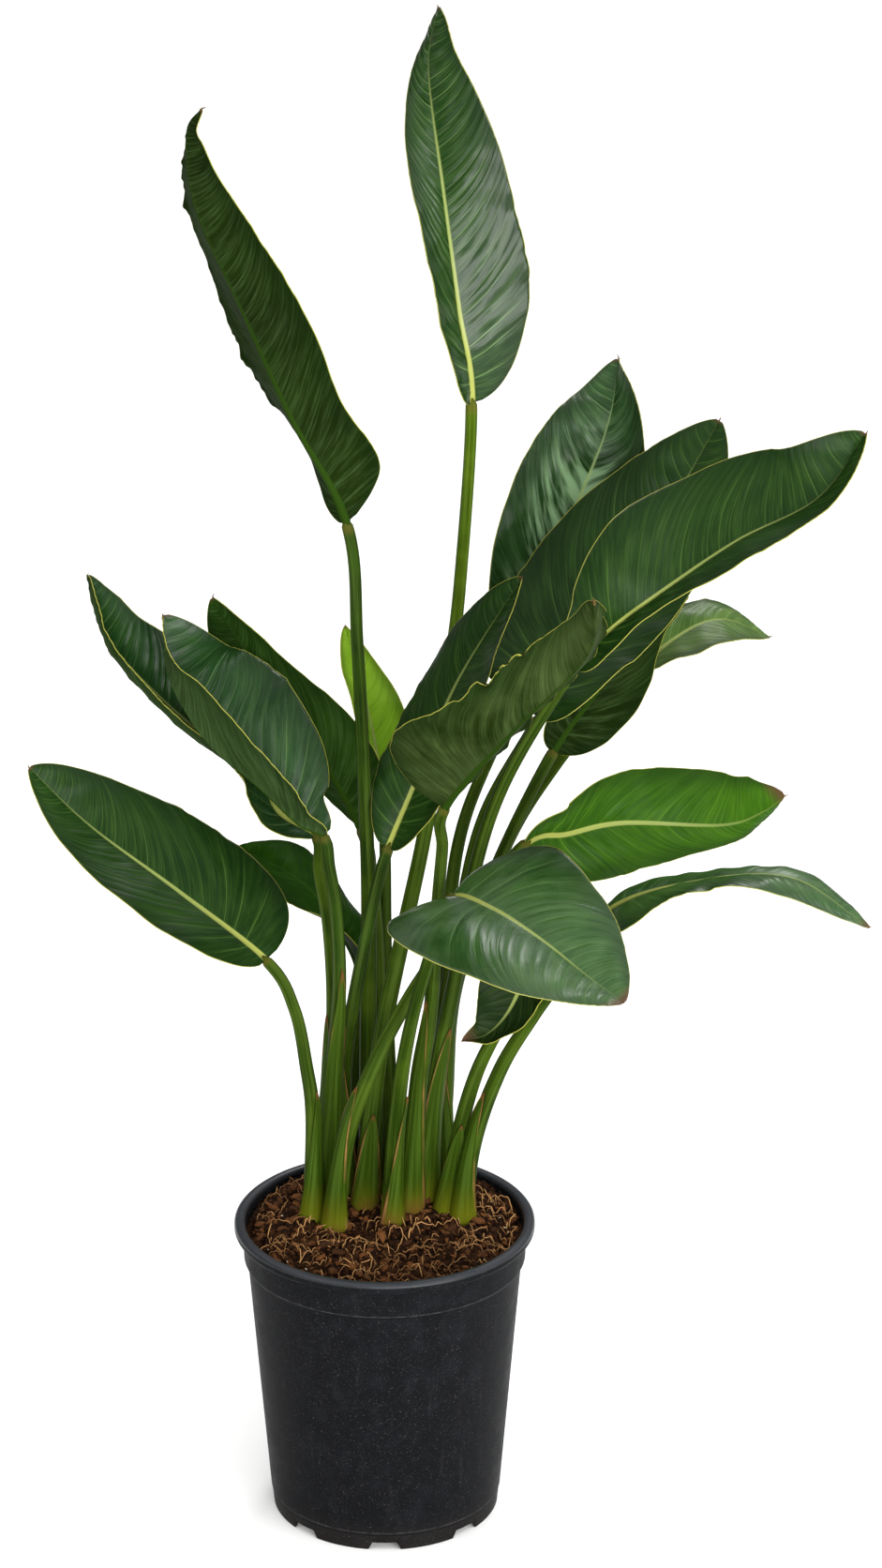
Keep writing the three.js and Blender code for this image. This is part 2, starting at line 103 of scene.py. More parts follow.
# Stalks, and the leaf bases that clasp them
STALK_BOTTOM = 205
BURIED = SOIL_TOP - STALK_BOTTOM
STALK_FOOT_RADIUS = 8.4
STALK_TOP_RADIUS = 4.6
STALK_TAPER = 1.6
STALK_SIDES = 28
STALK_STEP = 6
STALK_OVERLAP = 5
SHEATH_START = 18
SHEATH_GAP = 0.3
SHEATH_FLARE = 4
SHEATH_THICKNESS = 0.7
SHEATH_ROWS = 40
SHEATH_COLUMNS = 17

# Blades. KEEL_SIDES: shares of the keel's depth half way out and at its edge. FOOT_END, TIP_END: how the
# ends close, blunter where lower. CUT_SHARE: where the mesh stops short of both ends. COLUMNS: where it has
# points from the keel to the margin.
BLADE_THICKNESS = 0.8
KEEL_DEPTH = 4
KEEL_TIP_DEPTH = 0.6
KEEL_HALF_WIDTH = 3.6
KEEL_TIP_HALF_WIDTH = 0.8
KEEL_SIDES = (0.8, 0.3)
FOOT_END = 0.45
TIP_END = 0.7
CUT_SHARE = 0.004
CURVE_STEPS = 800
COLUMNS = (0.1, 0.22, 0.34, 0.46, 0.58, 0.7, 0.81, 0.9, 0.96, 1)
TIP_LENGTH = 6
TIP_STEPS = 8
TIP_SIDES = 8

# Ribs between the side veins: their spacing and sizes, how far on the left half's lie, their lean to the
# tip, their fan at the foot and their height
RIB_SPACING = 11
RIB_SIZES = (0.6, 1.4)
FEWEST_RIBS = 12
ROWS_PER_RIB = 8
LEFT_SHIFT = 0.5
RIB_LEAN = 2.4
MOST_LEAN = 0.55
FOOT_FAN = 0.35
RIB_HEIGHT = 0.7
RIB_HEIGHTS = {
    "tall_centre": 1.2, "left_high_a": 1.2, "left_high_b": 1.2, "right_high_a": 1.2, "front_wide": 1.1,
    "tall_left": 0.35, "centre_front": 0.4,
}

# Waves. SWELL: height inside the face. WAVES: usual height, number and phase along the margins.
# CRINKLE: usual height of the fine ones at the left and the right margin. FRILL: how far these push the
# margin in and out for each mm that they lift it.
SWELL = 0.6
WAVES = (0.8, 4, 0.5)
LEFT_PHASE = 2.1
CRINKLE = (0.35, 0.35)
CRINKLE_SIZES = (31, 19, 11, 7)
FRILL = 0.7
CRINKLES = {
    "centre_front": (2.0, 2.0), "tall_left": (0.15, 1.3), "right_thin": (0.9, 0.9),
    "front_small": (0.8, 0.8), "right_high_c": (0.15, 0.3),
}

# Each leaf. Most of these numbers were fitted by scratch programs to outlines read off the photograph by
# eye, and then rounded. The others were set one by one.
# stalk: way points from the soil to below the blade. keel: way points of the blade's midrib.
# face: where the upper face looks at the blade's foot, middle and tip, before it is squared to the midrib.
# widths: the left and the right half's width at even steps along the blade, before its ends close.
# folds: degrees that each half is raised at the midrib, at the foot, the middle and the tip.
# curls: degrees that each half bends on its way to the margin, all along or at even steps.
# waves: height, number and phase of the waves along the margins, where they differ from WAVES.
LEAVES = {
    "tall_centre": {
        "stalk": [[-19, 46, 205], [-10, 28, 335], [2, 20, 421], [17, 28, 494], [34, 50, 573],
            [51, 84, 682], [60, 88, 760]],
        "keel": [[68, 24, 925], [58, 20, 1001], [46, 38, 1093], [36, 60, 1176], [43, 78, 1219]],
        "face": [[0, -1, -0.2], [0.15, -0.95, 0.25], [-0.4, -0.8, 0.4]],
        "widths": [[26, 30], [48, 59, 53, 56, 66]],
        "folds": [[65, 35, -50], [-15, 15, 40]], "curls": [-10, -15], "waves": [0.8, 6, 0],
    },
    "tall_left": {
        "stalk": [[-14, 68, 205], [-13, 50, 391], [-12, 38, 510], [-14, 33, 592], [-19, 6, 735]],
        "keel": [[-26, -20, 843], [-69, -35, 937], [-102, -60, 1025], [-134, -75, 1107], [-139, -85, 1165],
            [-127, -92, 1187]],
        "face": [[-0.45, 0.2, 0.85], [0.1, 0.7, 0.7], [0.45, 0.65, -0.6]],
        "widths": [[72, 44, 50, 53, 47], [38, 46, 41, 46]],
        "folds": [[25, 5, 0], [70, 45, 60]], "curls": [-10, -5], "waves": [0.5, 5, 0],
    },
    "left_high_a": {
        "stalk": [[-50, 70, 205], [-46, 64, 302], [-41, 58, 404], [-44, 52, 480], [-51, 48, 530]],
        "keel": [[-53, 45, 561], [-83, 62, 575], [-101, 78, 605], [-155, 98, 637], [-208, 115, 687],
            [-227, 131, 720], [-235, 150, 742]],
        "face": [[0.5, -0.7, 0.5], [-0.2, -0.7, 0.7], [0.7, -0.6, 0.3]],
        "widths": [[48, 41, 52], [47, 52, 50]],
        "folds": [[20, 40, 25], [20, 20, 50]], "curls": [[15, 75, 70], 0], "waves": [0.3, 4, 0.5],
    },
    "left_high_b": {
        "stalk": [[-47, 49, 205], [-41, 34, 357], [-35, 20, 445], [-37, 14, 512], [-42, 10, 550]],
        "keel": [[-46, 8, 576], [-66, 14, 585], [-96, 28, 609], [-134, 42, 638], [-157, 55, 668],
            [-169, 62, 697], [-171, 68, 739]],
        "face": [[0.2, -0.75, 0.65], [0.35, -0.75, 0.5], [-0.1, -0.3, 0.95]],
        "widths": [[40, 36, 43, 45, 49], [46, 73, 96, 106]],
        "folds": [[95, 100, 90], [0, 5, -25]], "curls": [[5, 15, 10], 0], "waves": [0.4, 4, 0.5],
    },
    "left_back": {
        "stalk": [[-12, 86, 205], [-5, 66, 425], [-10, 68, 520]],
        "keel": [[-18, 66, 558], [-59, 96, 622], [-103, 116, 678], [-136, 136, 728]],
        "face": [[0.75, 0.65, 0.1], [0.3, 0.85, -0.25], [0.8, 0.35, 0.5]],
        "widths": [[50, 40, 28, 41], [45, 43, 49]],
        "folds": [[50, 30, 20], [40, 40, -45]], "curls": [-5, -25], "waves": [0.7, 6, 1],
    },
    "left_low": {
        "stalk": [[-60, 30, 205], [-57, 22, 322], [-62, 16, 378], [-71, 12, 429]],
        "keel": [[-92, 10, 470], [-161, 50, 511], [-233, 80, 556], [-281, 90, 602]],
        "face": [[0.3, -0.65, 0.7], [0.25, -0.65, 0.7], [0.15, -0.7, 0.7]],
        "widths": [[52, 43], [81, 62, 58, 64]],
        "folds": [[25, 25, 15], [0, 20, 20]], "curls": [-10, -15],
    },
    "left_dark": {
        "stalk": [[-30, 84, 205], [-23, 80, 344]],
        "keel": [[-20, 75, 429], [-53, 120, 475], [-92, 150, 495], [-122, 170, 499]],
        "face": [[0.35, -0.1, 0.95], [0.4, -0.5, 0.8], [0.05, -0.35, 0.95]],
        "widths": [[48, 41, 48], [43, 41, 43, 55, 45]],
        "folds": [[65, 15, 40], [30, 0, 30]], "curls": [5, -45],
    },
    "young": {
        "stalk": [[6, 86, 205], [1, 86, 416]],
        "keel": [[0, 102, 547], [-7, 133, 598], [-18, 134, 655], [-31, 140, 703]],
        "face": [[0.3, -0.95, 0.1], [0.4, -0.9, 0.1], [0.15, -1, 0.05]],
        "widths": [[28, 31], [34, 30]],
        "folds": [[45, 50, 30], [45, 30, 50]], "curls": [5, 5],
    },
    "centre_back": {
        "stalk": [[-32, 62, 205], [-33, 52, 349], [-25, 33, 419], [-14, 17, 487], [-5, 12, 533]],
        "keel": [[4, 10, 566], [25, 22, 615], [57, 38, 692], [108, 42, 779]],
        "face": [[-0.3, -0.9, 0.3], [-0.35, -0.9, 0.25], [-0.45, -0.8, 0.35]],
        "widths": [[34, 44, 46], [42, 55, 55]],
        "folds": [[45, -10, 20], [35, 40, 45]], "curls": [-50, 10],
    },
    "centre_front": {
        "stalk": [[18, 43, 205], [27, 26, 345], [37, 8, 430], [42, -14, 524], [46, -36, 585]],
        "keel": [[48, -50, 624], [96, -90, 700], [153, -130, 778], [158, -150, 829]],
        "face": [[-0.4, 0.75, 0.5], [-0.6, 0.8, 0.1], [-0.4, 0.9, 0.2]],
        "widths": [[53, 55], [94, 75, 51, 48, 63]],
        "folds": [[30, 30, 50], [40, 20, 85]], "curls": [0, 10], "waves": [1.8, 8, 0],
    },
    "right_high_a": {
        "stalk": [[24, 84, 205], [38, 124, 358], [50, 152, 441], [65, 176, 525]],
        "keel": [[113, 200, 638], [144, 240, 740], [179, 270, 825], [189, 310, 870]],
        "face": [[-0.25, -0.9, 0.35], [0.1, -0.85, 0.5], [-0.55, -0.8, 0.2]],
        "widths": [[57, 66], [50, 55]],
        "folds": [[40, 25, 15], [40, 0, 55]], "curls": [-5, 0],
    },
    "right_high_b": {
        "stalk": [[12, 68, 205], [43, 66, 375], [59, 66, 478], [79, 66, 570]],
        "keel": [[121, 62, 654], [151, 105, 698], [185, 150, 736], [225, 200, 777], [268, 245, 839]],
        "face": [[-0.25, -0.6, 0.75], [-0.25, -0.9, 0.4], [-0.1, -0.9, 0.4]],
        "widths": [[97, 77, 71, 64], [57, 60]],
        "folds": [[0, 0, 30], [30, 20, 25]], "curls": [-10, -25], "waves": [0.6, 6, 1],
    },
    "right_high_c": {
        "stalk": [[31, 58, 205], [39, 46, 339], [56, 36, 442], [71, 30, 537], [96, 26, 618]],
        "keel": [[148, 32, 708], [175, 36, 737], [215, 45, 765], [274, 65, 800], [337, 85, 828],
            [375, 110, 873]],
        "face": [[0.2, -0.9, 0.35], [-0.25, -0.85, 0.4], [0.15, -0.75, 0.65]],
        "widths": [[66, 69, 71, 77, 86], [40, 18, 38, 43, 50]],
        "folds": [[60, -10, 20], [60, 60, 70]], "curls": [0, -15], "waves": [0.5, 6, 1],
    },
    "right_pale": {
        "stalk": [[42, 82, 205], [48, 100, 310], [57, 118, 402], [96, 138, 512], [136, 160, 574]],
        "keel": [[184, 184, 627], [234, 216, 663], [272, 236, 672], [312, 248, 652]],
        "face": [[0.1, -0.5, 0.85], [-0.35, -0.7, 0.65], [0.1, -0.4, 0.9]],
        "widths": [[36, 32], [28, 45]],
        "folds": [[50, 15, 0], [65, 20, 30]], "curls": [-50, 5],
    },
    "right_shade": {
        "stalk": [[52, 64, 205], [48, 74, 331], [57, 86, 417], [89, 98, 513]],
        "keel": [[134, 113, 606], [171, 132, 653], [202, 146, 696], [241, 146, 725]],
        "face": [[-0.35, 0.85, 0.35], [-0.35, 0.9, 0.3], [-0.4, 0.85, 0.4]],
        "widths": [[44, 46], [43, 46]],
        "folds": [[5, 15, 40], [10, 20, 30]], "curls": [-30, -45], "waves": [0.7, 6, 1],
    },
    "right_bright": {
        "stalk": [[-42, 16, 205], [-31, 8, 312], [-6, -12, 395], [20, 2, 442], [42, 16, 472], [67, 12, 509]],
        "keel": [[111, 22, 565], [144, 35, 568], [188, 52, 570], [267, 72, 560], [300, 92, 563],
            [319, 110, 570]],
        "face": [[0.5, -0.85, 0], [0.1, -0.85, 0.5], [0.3, -0.9, 0.1]],
        "widths": [[31, 40, 53, 76], [52, 42, 25, 22]],
        "folds": [[40, 10, -10], [30, 5, -20]], "curls": [-10, -30], "waves": [0.3, 4, 0.5],
    },
    "right_thin": {
        "stalk": [[61, 29, 205], [69, 24, 296], [91, 18, 370], [118, 16, 420], [144, 2, 466]],
        "keel": [[172, -20, 523], [226, -30, 551], [311, -50, 567], [374, -80, 537]],
        "face": [[0.3, -0.4, 0.85], [-0.15, 0.15, 0.95], [0.05, -0.3, 0.95]],
        "widths": [[34, 35], [70, 46, 36, 13]],
        "folds": [[15, 25, 10], [30, 20, -10]], "curls": [-70, -35],
    },
    "front_wide": {
        "stalk": [[2, 24, 205], [10, 0, 340], [21, -24, 429], [40, -36, 508]],
        "keel": [[53, -50, 550], [85, -90, 557], [122, -127, 547], [155, -154, 530], [183, -178, 518]],
        "face": [[-0.05, -0.2, 1.2], [0.2, -0.35, 0.9], [0.35, -0.6, 0.8]],
        "widths": [[79, 74, 64, 64, 62], [110, 97, 85, 79, 81]],
        "folds": [[26, 34, 20], [16, 12, 22]], "curls": [-16, -18], "waves": [0.5, 4, 0.5],
    },
    "front_small": {
        "stalk": [[45, 39, 205], [58, 32, 301], [73, 22, 367], [95, 18, 418], [110, 14, 456]],
        "keel": [[119, 2, 490], [115, -14, 484], [108, -22, 464], [96, -26, 440], [80, -29, 424],
            [61, -32, 420]],
        "face": [[-0.1, -0.9, 0.3], [0, -1, 0.2], [0.1, -0.9, 0.4]],
        "widths": [[30, 26, 22], [32, 32, 24]],
        "folds": [[20, 30, 60], [20, 10, 10]], "curls": [40, -10], "waves": [1, 4, 0],
    },
}

# Leaf bases that clasp their stalks: the way they face in degrees from the front, how far up they reach
# and half the angle that they cover
SHEATHS = {
    "left_low": (50, 150, 130), "left_high_b": (20, 260, 140), "right_bright": (-60, 170, 130),
    "front_wide": (70, 160, 130), "centre_front": (-40, 240, 130), "right_high_c": (30, 200, 130),
    "right_thin": (-50, 150, 130), "tall_centre": (10, 130, 120), "centre_back": (-20, 170, 130),
    "right_shade": (-20, 150, 130), "front_small": (0, 120, 120), "tall_left": (0, 120, 120),
    "left_high_a": (-50, 200, 130),
}

# How leaves look. slot: the finish in the record. upper, lower: each face's main colour and its patches'.
# rib: the upper midrib's colour at the foot and beyond. vein: the side veins' colour. bloom: the colour of a
# pale painted sheen, streaked along the veins over the middle of the upper face. shine, rough: its gloss.
# dry: the share along the blade where the tip dries.
PLAIN_LOOK = {
    "slot": "leaf_dark", "lower": ("#162709", "#20360c"), "rib": ("#93994a", "#7d8a4a"), "painted_sheen": None,
    "rough": 0.36, "dry": 0.99,
}
LOOKS = {
    "dark": {"upper": ("#112909", "#1f3a10"), "vein": "#587832", "shine": 0.08},
    "shade": {"upper": ("#153104", "#234408"), "lower": ("#122207", "#1a2f0a"), "vein": "#2f4c14",
              "rib": ("#2c4a12", "#26420f"), "shine": 0.008, "rough": 0.4},
    "curled": {"upper": ("#0f2008", "#22330f"), "lower": ("#14210a", "#22300f"), "vein": "#4a5f2a",
               "shine": 0.05, "rough": 0.4, "dry": 0.92},
    "gloss": {"upper": ("#112b07", "#1e3d0f"), "vein": "#7d9a5c", "shine": 0.22, "rough": 0.22},
    # The bloom look paints a pale sheen in streaks over the middle of the upper face.
    "painted_sheen": {"upper": ("#112d0b", "#2b5020"), "vein": "#7d9a66", "rib": ("#a3b56a", "#8da365"),
              "painted_sheen": "#7f9f74", "shine": 0.2, "rough": 0.26},
    "cool": {"upper": ("#112e10", "#23471b"), "lower": ("#233317", "#334527"), "vein": "#6c8c52",
             "shine": 0.17, "rough": 0.26},
    "grey": {"slot": "leaf_grey", "upper": ("#23421a", "#3c5a2b"), "lower": ("#101b05", "#1a2a09"),
             "vein": "#668450", "shine": 0.34, "rough": 0.28},
    "mottled": {"slot": "leaf_grey", "upper": ("#132c0a", "#223f11"), "lower": ("#172308", "#3f4d28"),
                "vein": "#5f7c44", "shine": 0.1},
    # The bright, young and pale looks are lighter partly by the leaves' own colour and partly by a painted
    # glow of light shining through them.
    "bright": {"slot": "leaf_bright", "upper": ("#204304", "#335806"), "lower": ("#2f520b", "#3a6010"),
               "vein": "#5b8422", "shine": 0.05, "dry": 0.955},
    "young": {"slot": "leaf_bright", "upper": ("#68901a", "#7ba028"), "lower": ("#5e8418", "#6e9422"),
              "vein": "#93b83e", "shine": 0.12},
    "pale": {"slot": "leaf_grey", "upper": ("#36521a", "#5b7434"), "lower": ("#425928", "#587034"),
             "vein": "#7b9652", "shine": 0.22},
}
LOOKS["tipped"] = {**LOOKS["grey"], "dry": 0.965}
LOOKS["olive"] = {**LOOKS["grey"], "lower": ("#172d09", "#2a4510")}
LOOKS = {name: {**PLAIN_LOOK, **look} for name, look in LOOKS.items()}
LEAF_LOOK = {
    "tall_centre": "gloss", "right_high_a": "painted_sheen", "left_high_a": "cool", "left_high_b": "cool",
    "tall_left": "grey", "left_back": "olive", "centre_front": "mottled", "right_shade": "grey",
    "front_wide": "tipped", "right_thin": "tipped", "right_pale": "pale", "right_bright": "bright",
    "young": "young", "left_dark": "shade", "front_small": "curled",
}
LOWER_RIB = ("#23390c", "#1d300a")
DEEP_GREEN = "#0c1d06"
MARGIN_YELLOW = "#9c9a42"
DRY_TIP = "#4c3723"

# The dark and the light colour of the stalks' upper parts, and which stalks differ from green. The deep tone
# is painted shade for stalks in the shade of other leaves, and the lit tone painted light for a stalk in the
# light.
STALK_TONES = {
    "green": ("#1b2d05", "#31440b"), "deep": ("#102106", "#1f3509"), "lit": ("#2f4306", "#465c0e"),
}
STALK_LOOK = {"tall_left": "deep", "left_high_b": "deep", "centre_back": "deep", "tall_centre": "lit"}
FOOT_YELLOW = "#6b6a10"


def unit(vectors):
    return vectors / np.linalg.norm(vectors, axis=-1, keepdims=True)


def lerp(start, end, share):
    return start + (end - start) * share


def smooth(start, end, value):
    """0 before start, 1 after end and an even rise between."""
    share = np.clip((value - start) / (end - start), 0, 1)
    return share * share * (3 - 2 * share)


def stacked(*parts):
    """The last axis holds one number of each part."""
    return np.stack(np.broadcast_arrays(*parts), axis=-1)


def turns(sides):
    """Even steps of a whole turn."""
    return 2 * np.pi * np.arange(sides) / sides


def circle(radius, sides):
    """x and y of even steps round a circle, from the front to the right."""
    return radius * np.sin(turns(sides)), -radius * np.cos(turns(sides))


def squared(way, onward):
    """The way turned square to each onward direction, and the direction to the right of both."""
    up = unit(way - (way * onward).sum(-1, keepdims=True) * onward)
    return up, np.cross(onward, up)


def curve(points, place):
    """The smooth curve through points, at one place or many from 0 to 1."""
    points = np.asarray(points, float)
    padded = np.concatenate([[2 * points[0] - points[1]], points, [2 * points[-1] - points[-2]]])
    place = np.clip(place, 0, 1) * (len(points) - 1)
    index = np.clip(np.floor(place).astype(int), 0, len(points) - 2)
    share = place - index
    if points.ndim > 1:
        share = share[..., None]
    before, start, end, after = (padded[index + step] for step in range(4))
    leave, arrive = (end - before) / 2, (after - start) / 2
    return (
        start + leave * share
        + (3 * end - 3 * start - 2 * leave - arrive) * share**2
        + (2 * start - 2 * end + leave + arrive) * share**3
    )


def along(value, place):
    """A number that holds all along, or numbers or vectors at even steps, smoothly joined."""
    if np.ndim(value) == 0:
        return np.full(np.shape(place), float(value))
    return curve(value, place)


class Spine:
    """The line of a leaf from the soil through its stalk and midrib, by distance in millimetres."""

    def __init__(self, leaf):
        self.points = np.array(leaf["stalk"] + leaf["keel"], float)
        self.places = np.linspace(0, 1, CURVE_STEPS + 1)
        path = curve(self.points, self.places)
        steps = np.linalg.norm(np.diff(path, axis=0), axis=1)
        self.lengths = np.concatenate([[0], np.cumsum(steps)])
        self.length = self.lengths[-1]
        foot = round(CURVE_STEPS * len(leaf["stalk"]) / (len(self.points) - 1))
        self.foot = self.lengths[foot]

    def at(self, distance):
        return curve(self.points, np.interp(distance, self.lengths, self.places))

    def onward(self, distance):
        ahead = self.at(np.minimum(distance + 0.5, self.length))
        return unit(ahead - self.at(np.maximum(distance - 0.5, 0)))


def blade_frame(leaf, spine, t):
    """Where the midrib is, the way it runs, the way the upper face looks and the way to its right."""
    distance = spine.foot + t * (spine.length - spine.foot)
    onward = spine.onward(distance)
    return spine.at(distance), onward, *squared(along(leaf["face"], t), onward)


def half_width(leaf, side, t):
    """Width from midrib to margin at share t, on the left for side -1 and on the right for 1."""
    full = FOOT_END / (FOOT_END + TIP_END)
    return along(leaf["widths"][side > 0], t) * (t / full) ** FOOT_END * ((1 - t) / (1 - full)) ** TIP_END


def half_blade(leaf, spine, t, side, a):
    """Points of one half of the blade, share a from midrib to margin, and the face's direction there."""
    middle, _, up, right = blade_frame(leaf, spine, t)
    width = half_width(leaf, side, t)
    fold, curl = (np.radians(along(leaf[key][side > 0], t)) for key in ("folds", "curls"))
    curl = np.where(np.abs(curl) < 1e-4, 1e-4, curl)
    turn = fold + curl * a
    across = width * (np.sin(turn) - np.sin(fold)) / curl
    rise = width * (np.cos(fold) - np.cos(turn)) / curl
    face = up * np.cos(turn)[..., None] - side * right * np.sin(turn)[..., None]
    height, number, phase = leaf.get("waves", WAVES)
    wave = np.sin(2 * np.pi * number * t + phase + (LEFT_PHASE if side < 0 else 0))
    wave *= height * a**2 * np.sqrt(np.sin(np.pi * t))
    point = middle + side * right * across[..., None] + up * rise[..., None] + face * wave[..., None]
    return point, face


def rows_of(blade_length):
    """Marks that count the ribs from the foot, and the share along the blade of each mark."""
    ribs = max(FEWEST_RIBS, round(blade_length / RIB_SPACING))
    edges = np.concatenate([[0], np.cumsum(random.uniform(*RIB_SIZES, ribs))])
    marks = np.arange(ribs * ROWS_PER_RIB + 1) / ROWS_PER_RIB
    shares = np.interp(marks, np.arange(ribs + 1), edges / edges[-1])
    return marks, lerp(CUT_SHARE, 1 - CUT_SHARE, shares)


def rib_rise(height, marks, a):
    """Height of the face between its side veins: each rib bulges by its own amount and dips at its veins."""
    ribs = int(marks[-1]) + 2
    bulges = random.uniform(0.25, 1, ribs)
    index = np.clip(np.floor(marks).astype(int), 0, ribs - 1)
    bulge = bulges[index] * np.abs(np.sin(np.pi * marks)) ** 0.8
    return height * bulge[:, None] * smooth(0.02, 0.3, a) * lerp(1, 0.4, a)


def crinkles(height, distance, a):
    """Uneven small waves of the margin that fade inward and come in stretches."""
    total = np.zeros_like(distance)
    stretch = 0.25 + smooth(-0.1, 0.7, np.sin(distance / random.uniform(22, 34) + random.uniform(0, 6.28)))
    for size in CRINKLE_SIZES:
        turn, shift = random.uniform(0, 6.28, 2)
        wave = np.sin(2 * np.pi * distance / size + turn + np.sin(distance / 40 + shift))
        total += size / CRINKLE_SIZES[0] * wave
    return height * stretch * total * smooth(0.55, 1, a) ** 2


def vein_share(v, lean, a):
    """Share along the blade that the side vein from share v of the midrib has reached at share a outward."""
    return v + lean * (0.55 * a + 0.45 * a**2) * (1 - v) * smooth(0, FOOT_FAN, v)


def swells(distance, across, a):
    """Broad soft waves of the face between midrib and margin."""
    turn, shift = random.uniform(0, 6.28, 2)
    onward = 2 * np.pi * distance
    total = np.sin(onward / 61 + across / 13 + turn) * np.sin(onward / 37 - across / 19)
    total += 0.6 * np.sin(onward / 26 + across / 9 + shift)
    return SWELL * total * smooth(0.05, 0.4, a) * lerp(1, 0.3, smooth(0.6, 1, a))


def keel_depth(shares):
    return lerp(KEEL_DEPTH, KEEL_TIP_DEPTH, shares**0.6)


def blade_half(leaf, spine, marks, shares, lean, side, crinkle, rib_height):
    """Grids of one half's upper and lower face from left to right. The third grid notes each point's rib
    mark, its distance from the midrib, its share along and to the margin, and the width there."""
    length = spine.length - spine.foot
    keel = lerp(KEEL_HALF_WIDTH, KEEL_TIP_HALF_WIDTH, shares)
    near = np.minimum(keel / np.maximum(half_width(leaf, side, shares), 1e-3), 0.25)[:, None]
    a = np.concatenate([near * 0.5, near, near * 1.7, lerp(near * 1.7, 1, np.array(COLUMNS))], axis=1)
    v = np.broadcast_to(shares[:, None], a.shape)
    t = np.clip(vein_share(v, lean, a), CUT_SHARE, 1 - CUT_SHARE)
    wide = half_width(leaf, side, t)
    lift = rib_rise(rib_height, marks, a) + swells(t * length, a * wide, a)
    ripple = crinkles(crinkle, t * length, a) * np.sqrt(np.sin(np.pi * t))
    point, face = half_blade(leaf, spine, t, side, a + FRILL * ripple / wide)
    point = point + face * (lift + ripple)[..., None]
    thick = BLADE_THICKNESS / 2 * lerp(1, 0.7, a**3)
    below = thick.copy()
    below[:, :2] = np.maximum(thick[:, :2], keel_depth(shares)[:, None] * KEEL_SIDES)
    note = stacked(marks[:, None], side * a * wide, t, a, wide)
    grids = point + face * thick[..., None], point - face * below[..., None], note
    return [grid[:, ::side] for grid in grids]


def blade_grids(leaf, spine, crinkle, rib_height):
    """The grids of blade_half for both halves, with the midrib's column between them."""
    length = spine.length - spine.foot
    marks, shares = rows_of(length)
    width = (half_width(leaf, -1, shares) + half_width(leaf, 1, shares)) / 2
    lean = min(RIB_LEAN * width.max() / length, MOST_LEAN)
    left = blade_half(leaf, spine, marks + LEFT_SHIFT, shares, lean, -1, crinkle[0], rib_height)
    right = blade_half(leaf, spine, marks, shares, lean, 1, crinkle[1], rib_height)
    middle, _, up, _ = blade_frame(leaf, spine, shares)
    depth = keel_depth(shares)
    groove = middle + up * (BLADE_THICKNESS / 2 - np.minimum(depth * 0.15, 0.4))[:, None]
    midrib = groove, middle - up * depth[:, None], stacked(marks, 0, shares, 0, width)
    halves = zip(left, midrib, right)
    return [np.concatenate([one, between[:, None], other], axis=1) for one, between, other in halves]


def ring_faces(rings, sides):
    """Quads between rings of points that follow each other."""
    i = np.arange(rings - 1)[:, None] * sides
    j = np.arange(sides)
    after = (j + 1) % sides
    return stacked(i + j, i + after, i + sides + after, i + sides + j).reshape(-1, 4)


def tube_faces(rings, sides):
    """Faces of a tube of rings that is closed at both ends."""
    last = (rings - 1) * sides
    return ring_faces(rings, sides).tolist() + [[*range(sides)][::-1], [*range(last, last + sides)]]


def shell_faces(rows, columns):
    """Faces of a closed shell over rings that run along an upper face and back along a lower one."""
    ring = 2 * columns
    k = np.arange(columns - 1)
    low = stacked(k, ring - 1 - k, ring - 2 - k, k + 1)
    high = stacked(k, k + 1, ring - 2 - k, ring - 1 - k) + (rows - 1) * ring
    return np.concatenate([ring_faces(rows, ring), low, high]).tolist()


def wrapped(upper, lower):
    """Each row of the upper grid, then of the lower grid backwards, as the rings of a shell."""
    return np.concatenate([upper, lower[:, ::-1]], axis=1).reshape(-1, upper.shape[-1])


def ring_points(middle, u, v, reach, angle):
    """Points round each middle, at a reach and an angle from its u towards its v."""
    along_u, along_v = (reach * np.cos(angle))[..., None], (reach * np.sin(angle))[..., None]
    return middle[:, None] + u[:, None] * along_u + v[:, None] * along_v


def add_object(name, data):
    added = bpy.data.objects.new(name, data)
    bpy.context.scene.collection.objects.link(added)
    return added


def make_mesh(name, points, faces, materials, notes=None):
    """A smooth mesh from points in millimetres. notes are named vectors, one for each point."""
    mesh = bpy.data.meshes.new(name)
    mesh.from_pydata((np.asarray(points) * MM).tolist(), [], faces)
    mesh.validate()
    for key, vectors in (notes or {}).items():
        data = mesh.attributes.new(key, "FLOAT_VECTOR", "POINT")
        data.data.foreach_set("vector", np.asarray(vectors, np.float32).ravel())
    mesh.shade_smooth()
    for material in materials:
        mesh.materials.append(material)
    return add_object(name, mesh)


def dress(piece, node=None):
    """The piece joins the root body, and takes a CAD node's place where one is named."""
    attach(piece, "root")
    if node:
        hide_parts(node)


def make_blade(name, leaf, spine):
    """A blade with one material above and one below."""
    heights = CRINKLES.get(name, CRINKLE), RIB_HEIGHTS.get(name, RIB_HEIGHT)
    upper, lower, notes = blade_grids(leaf, spine, *heights)
    rows, columns = upper.shape[:2]
    notes = wrapped(notes, notes)
    out, wide = notes[:, 3], notes[:, 4]
    faces, look = shell_faces(rows, columns), LEAF_LOOK.get(name, "dark")
    piece = make_mesh(f"leaf_{name}", wrapped(upper, lower), faces, LEAF_MATERIALS[look], {
        "place": notes[:, :3],
        "margin": stacked(out, (1 - out) * wide, 0),
    })
    for face in piece.data.polygons:
        face.material_index = int(min(k % (2 * columns) for k in face.vertices) >= columns)
    dress(piece, f"blade_{name}")


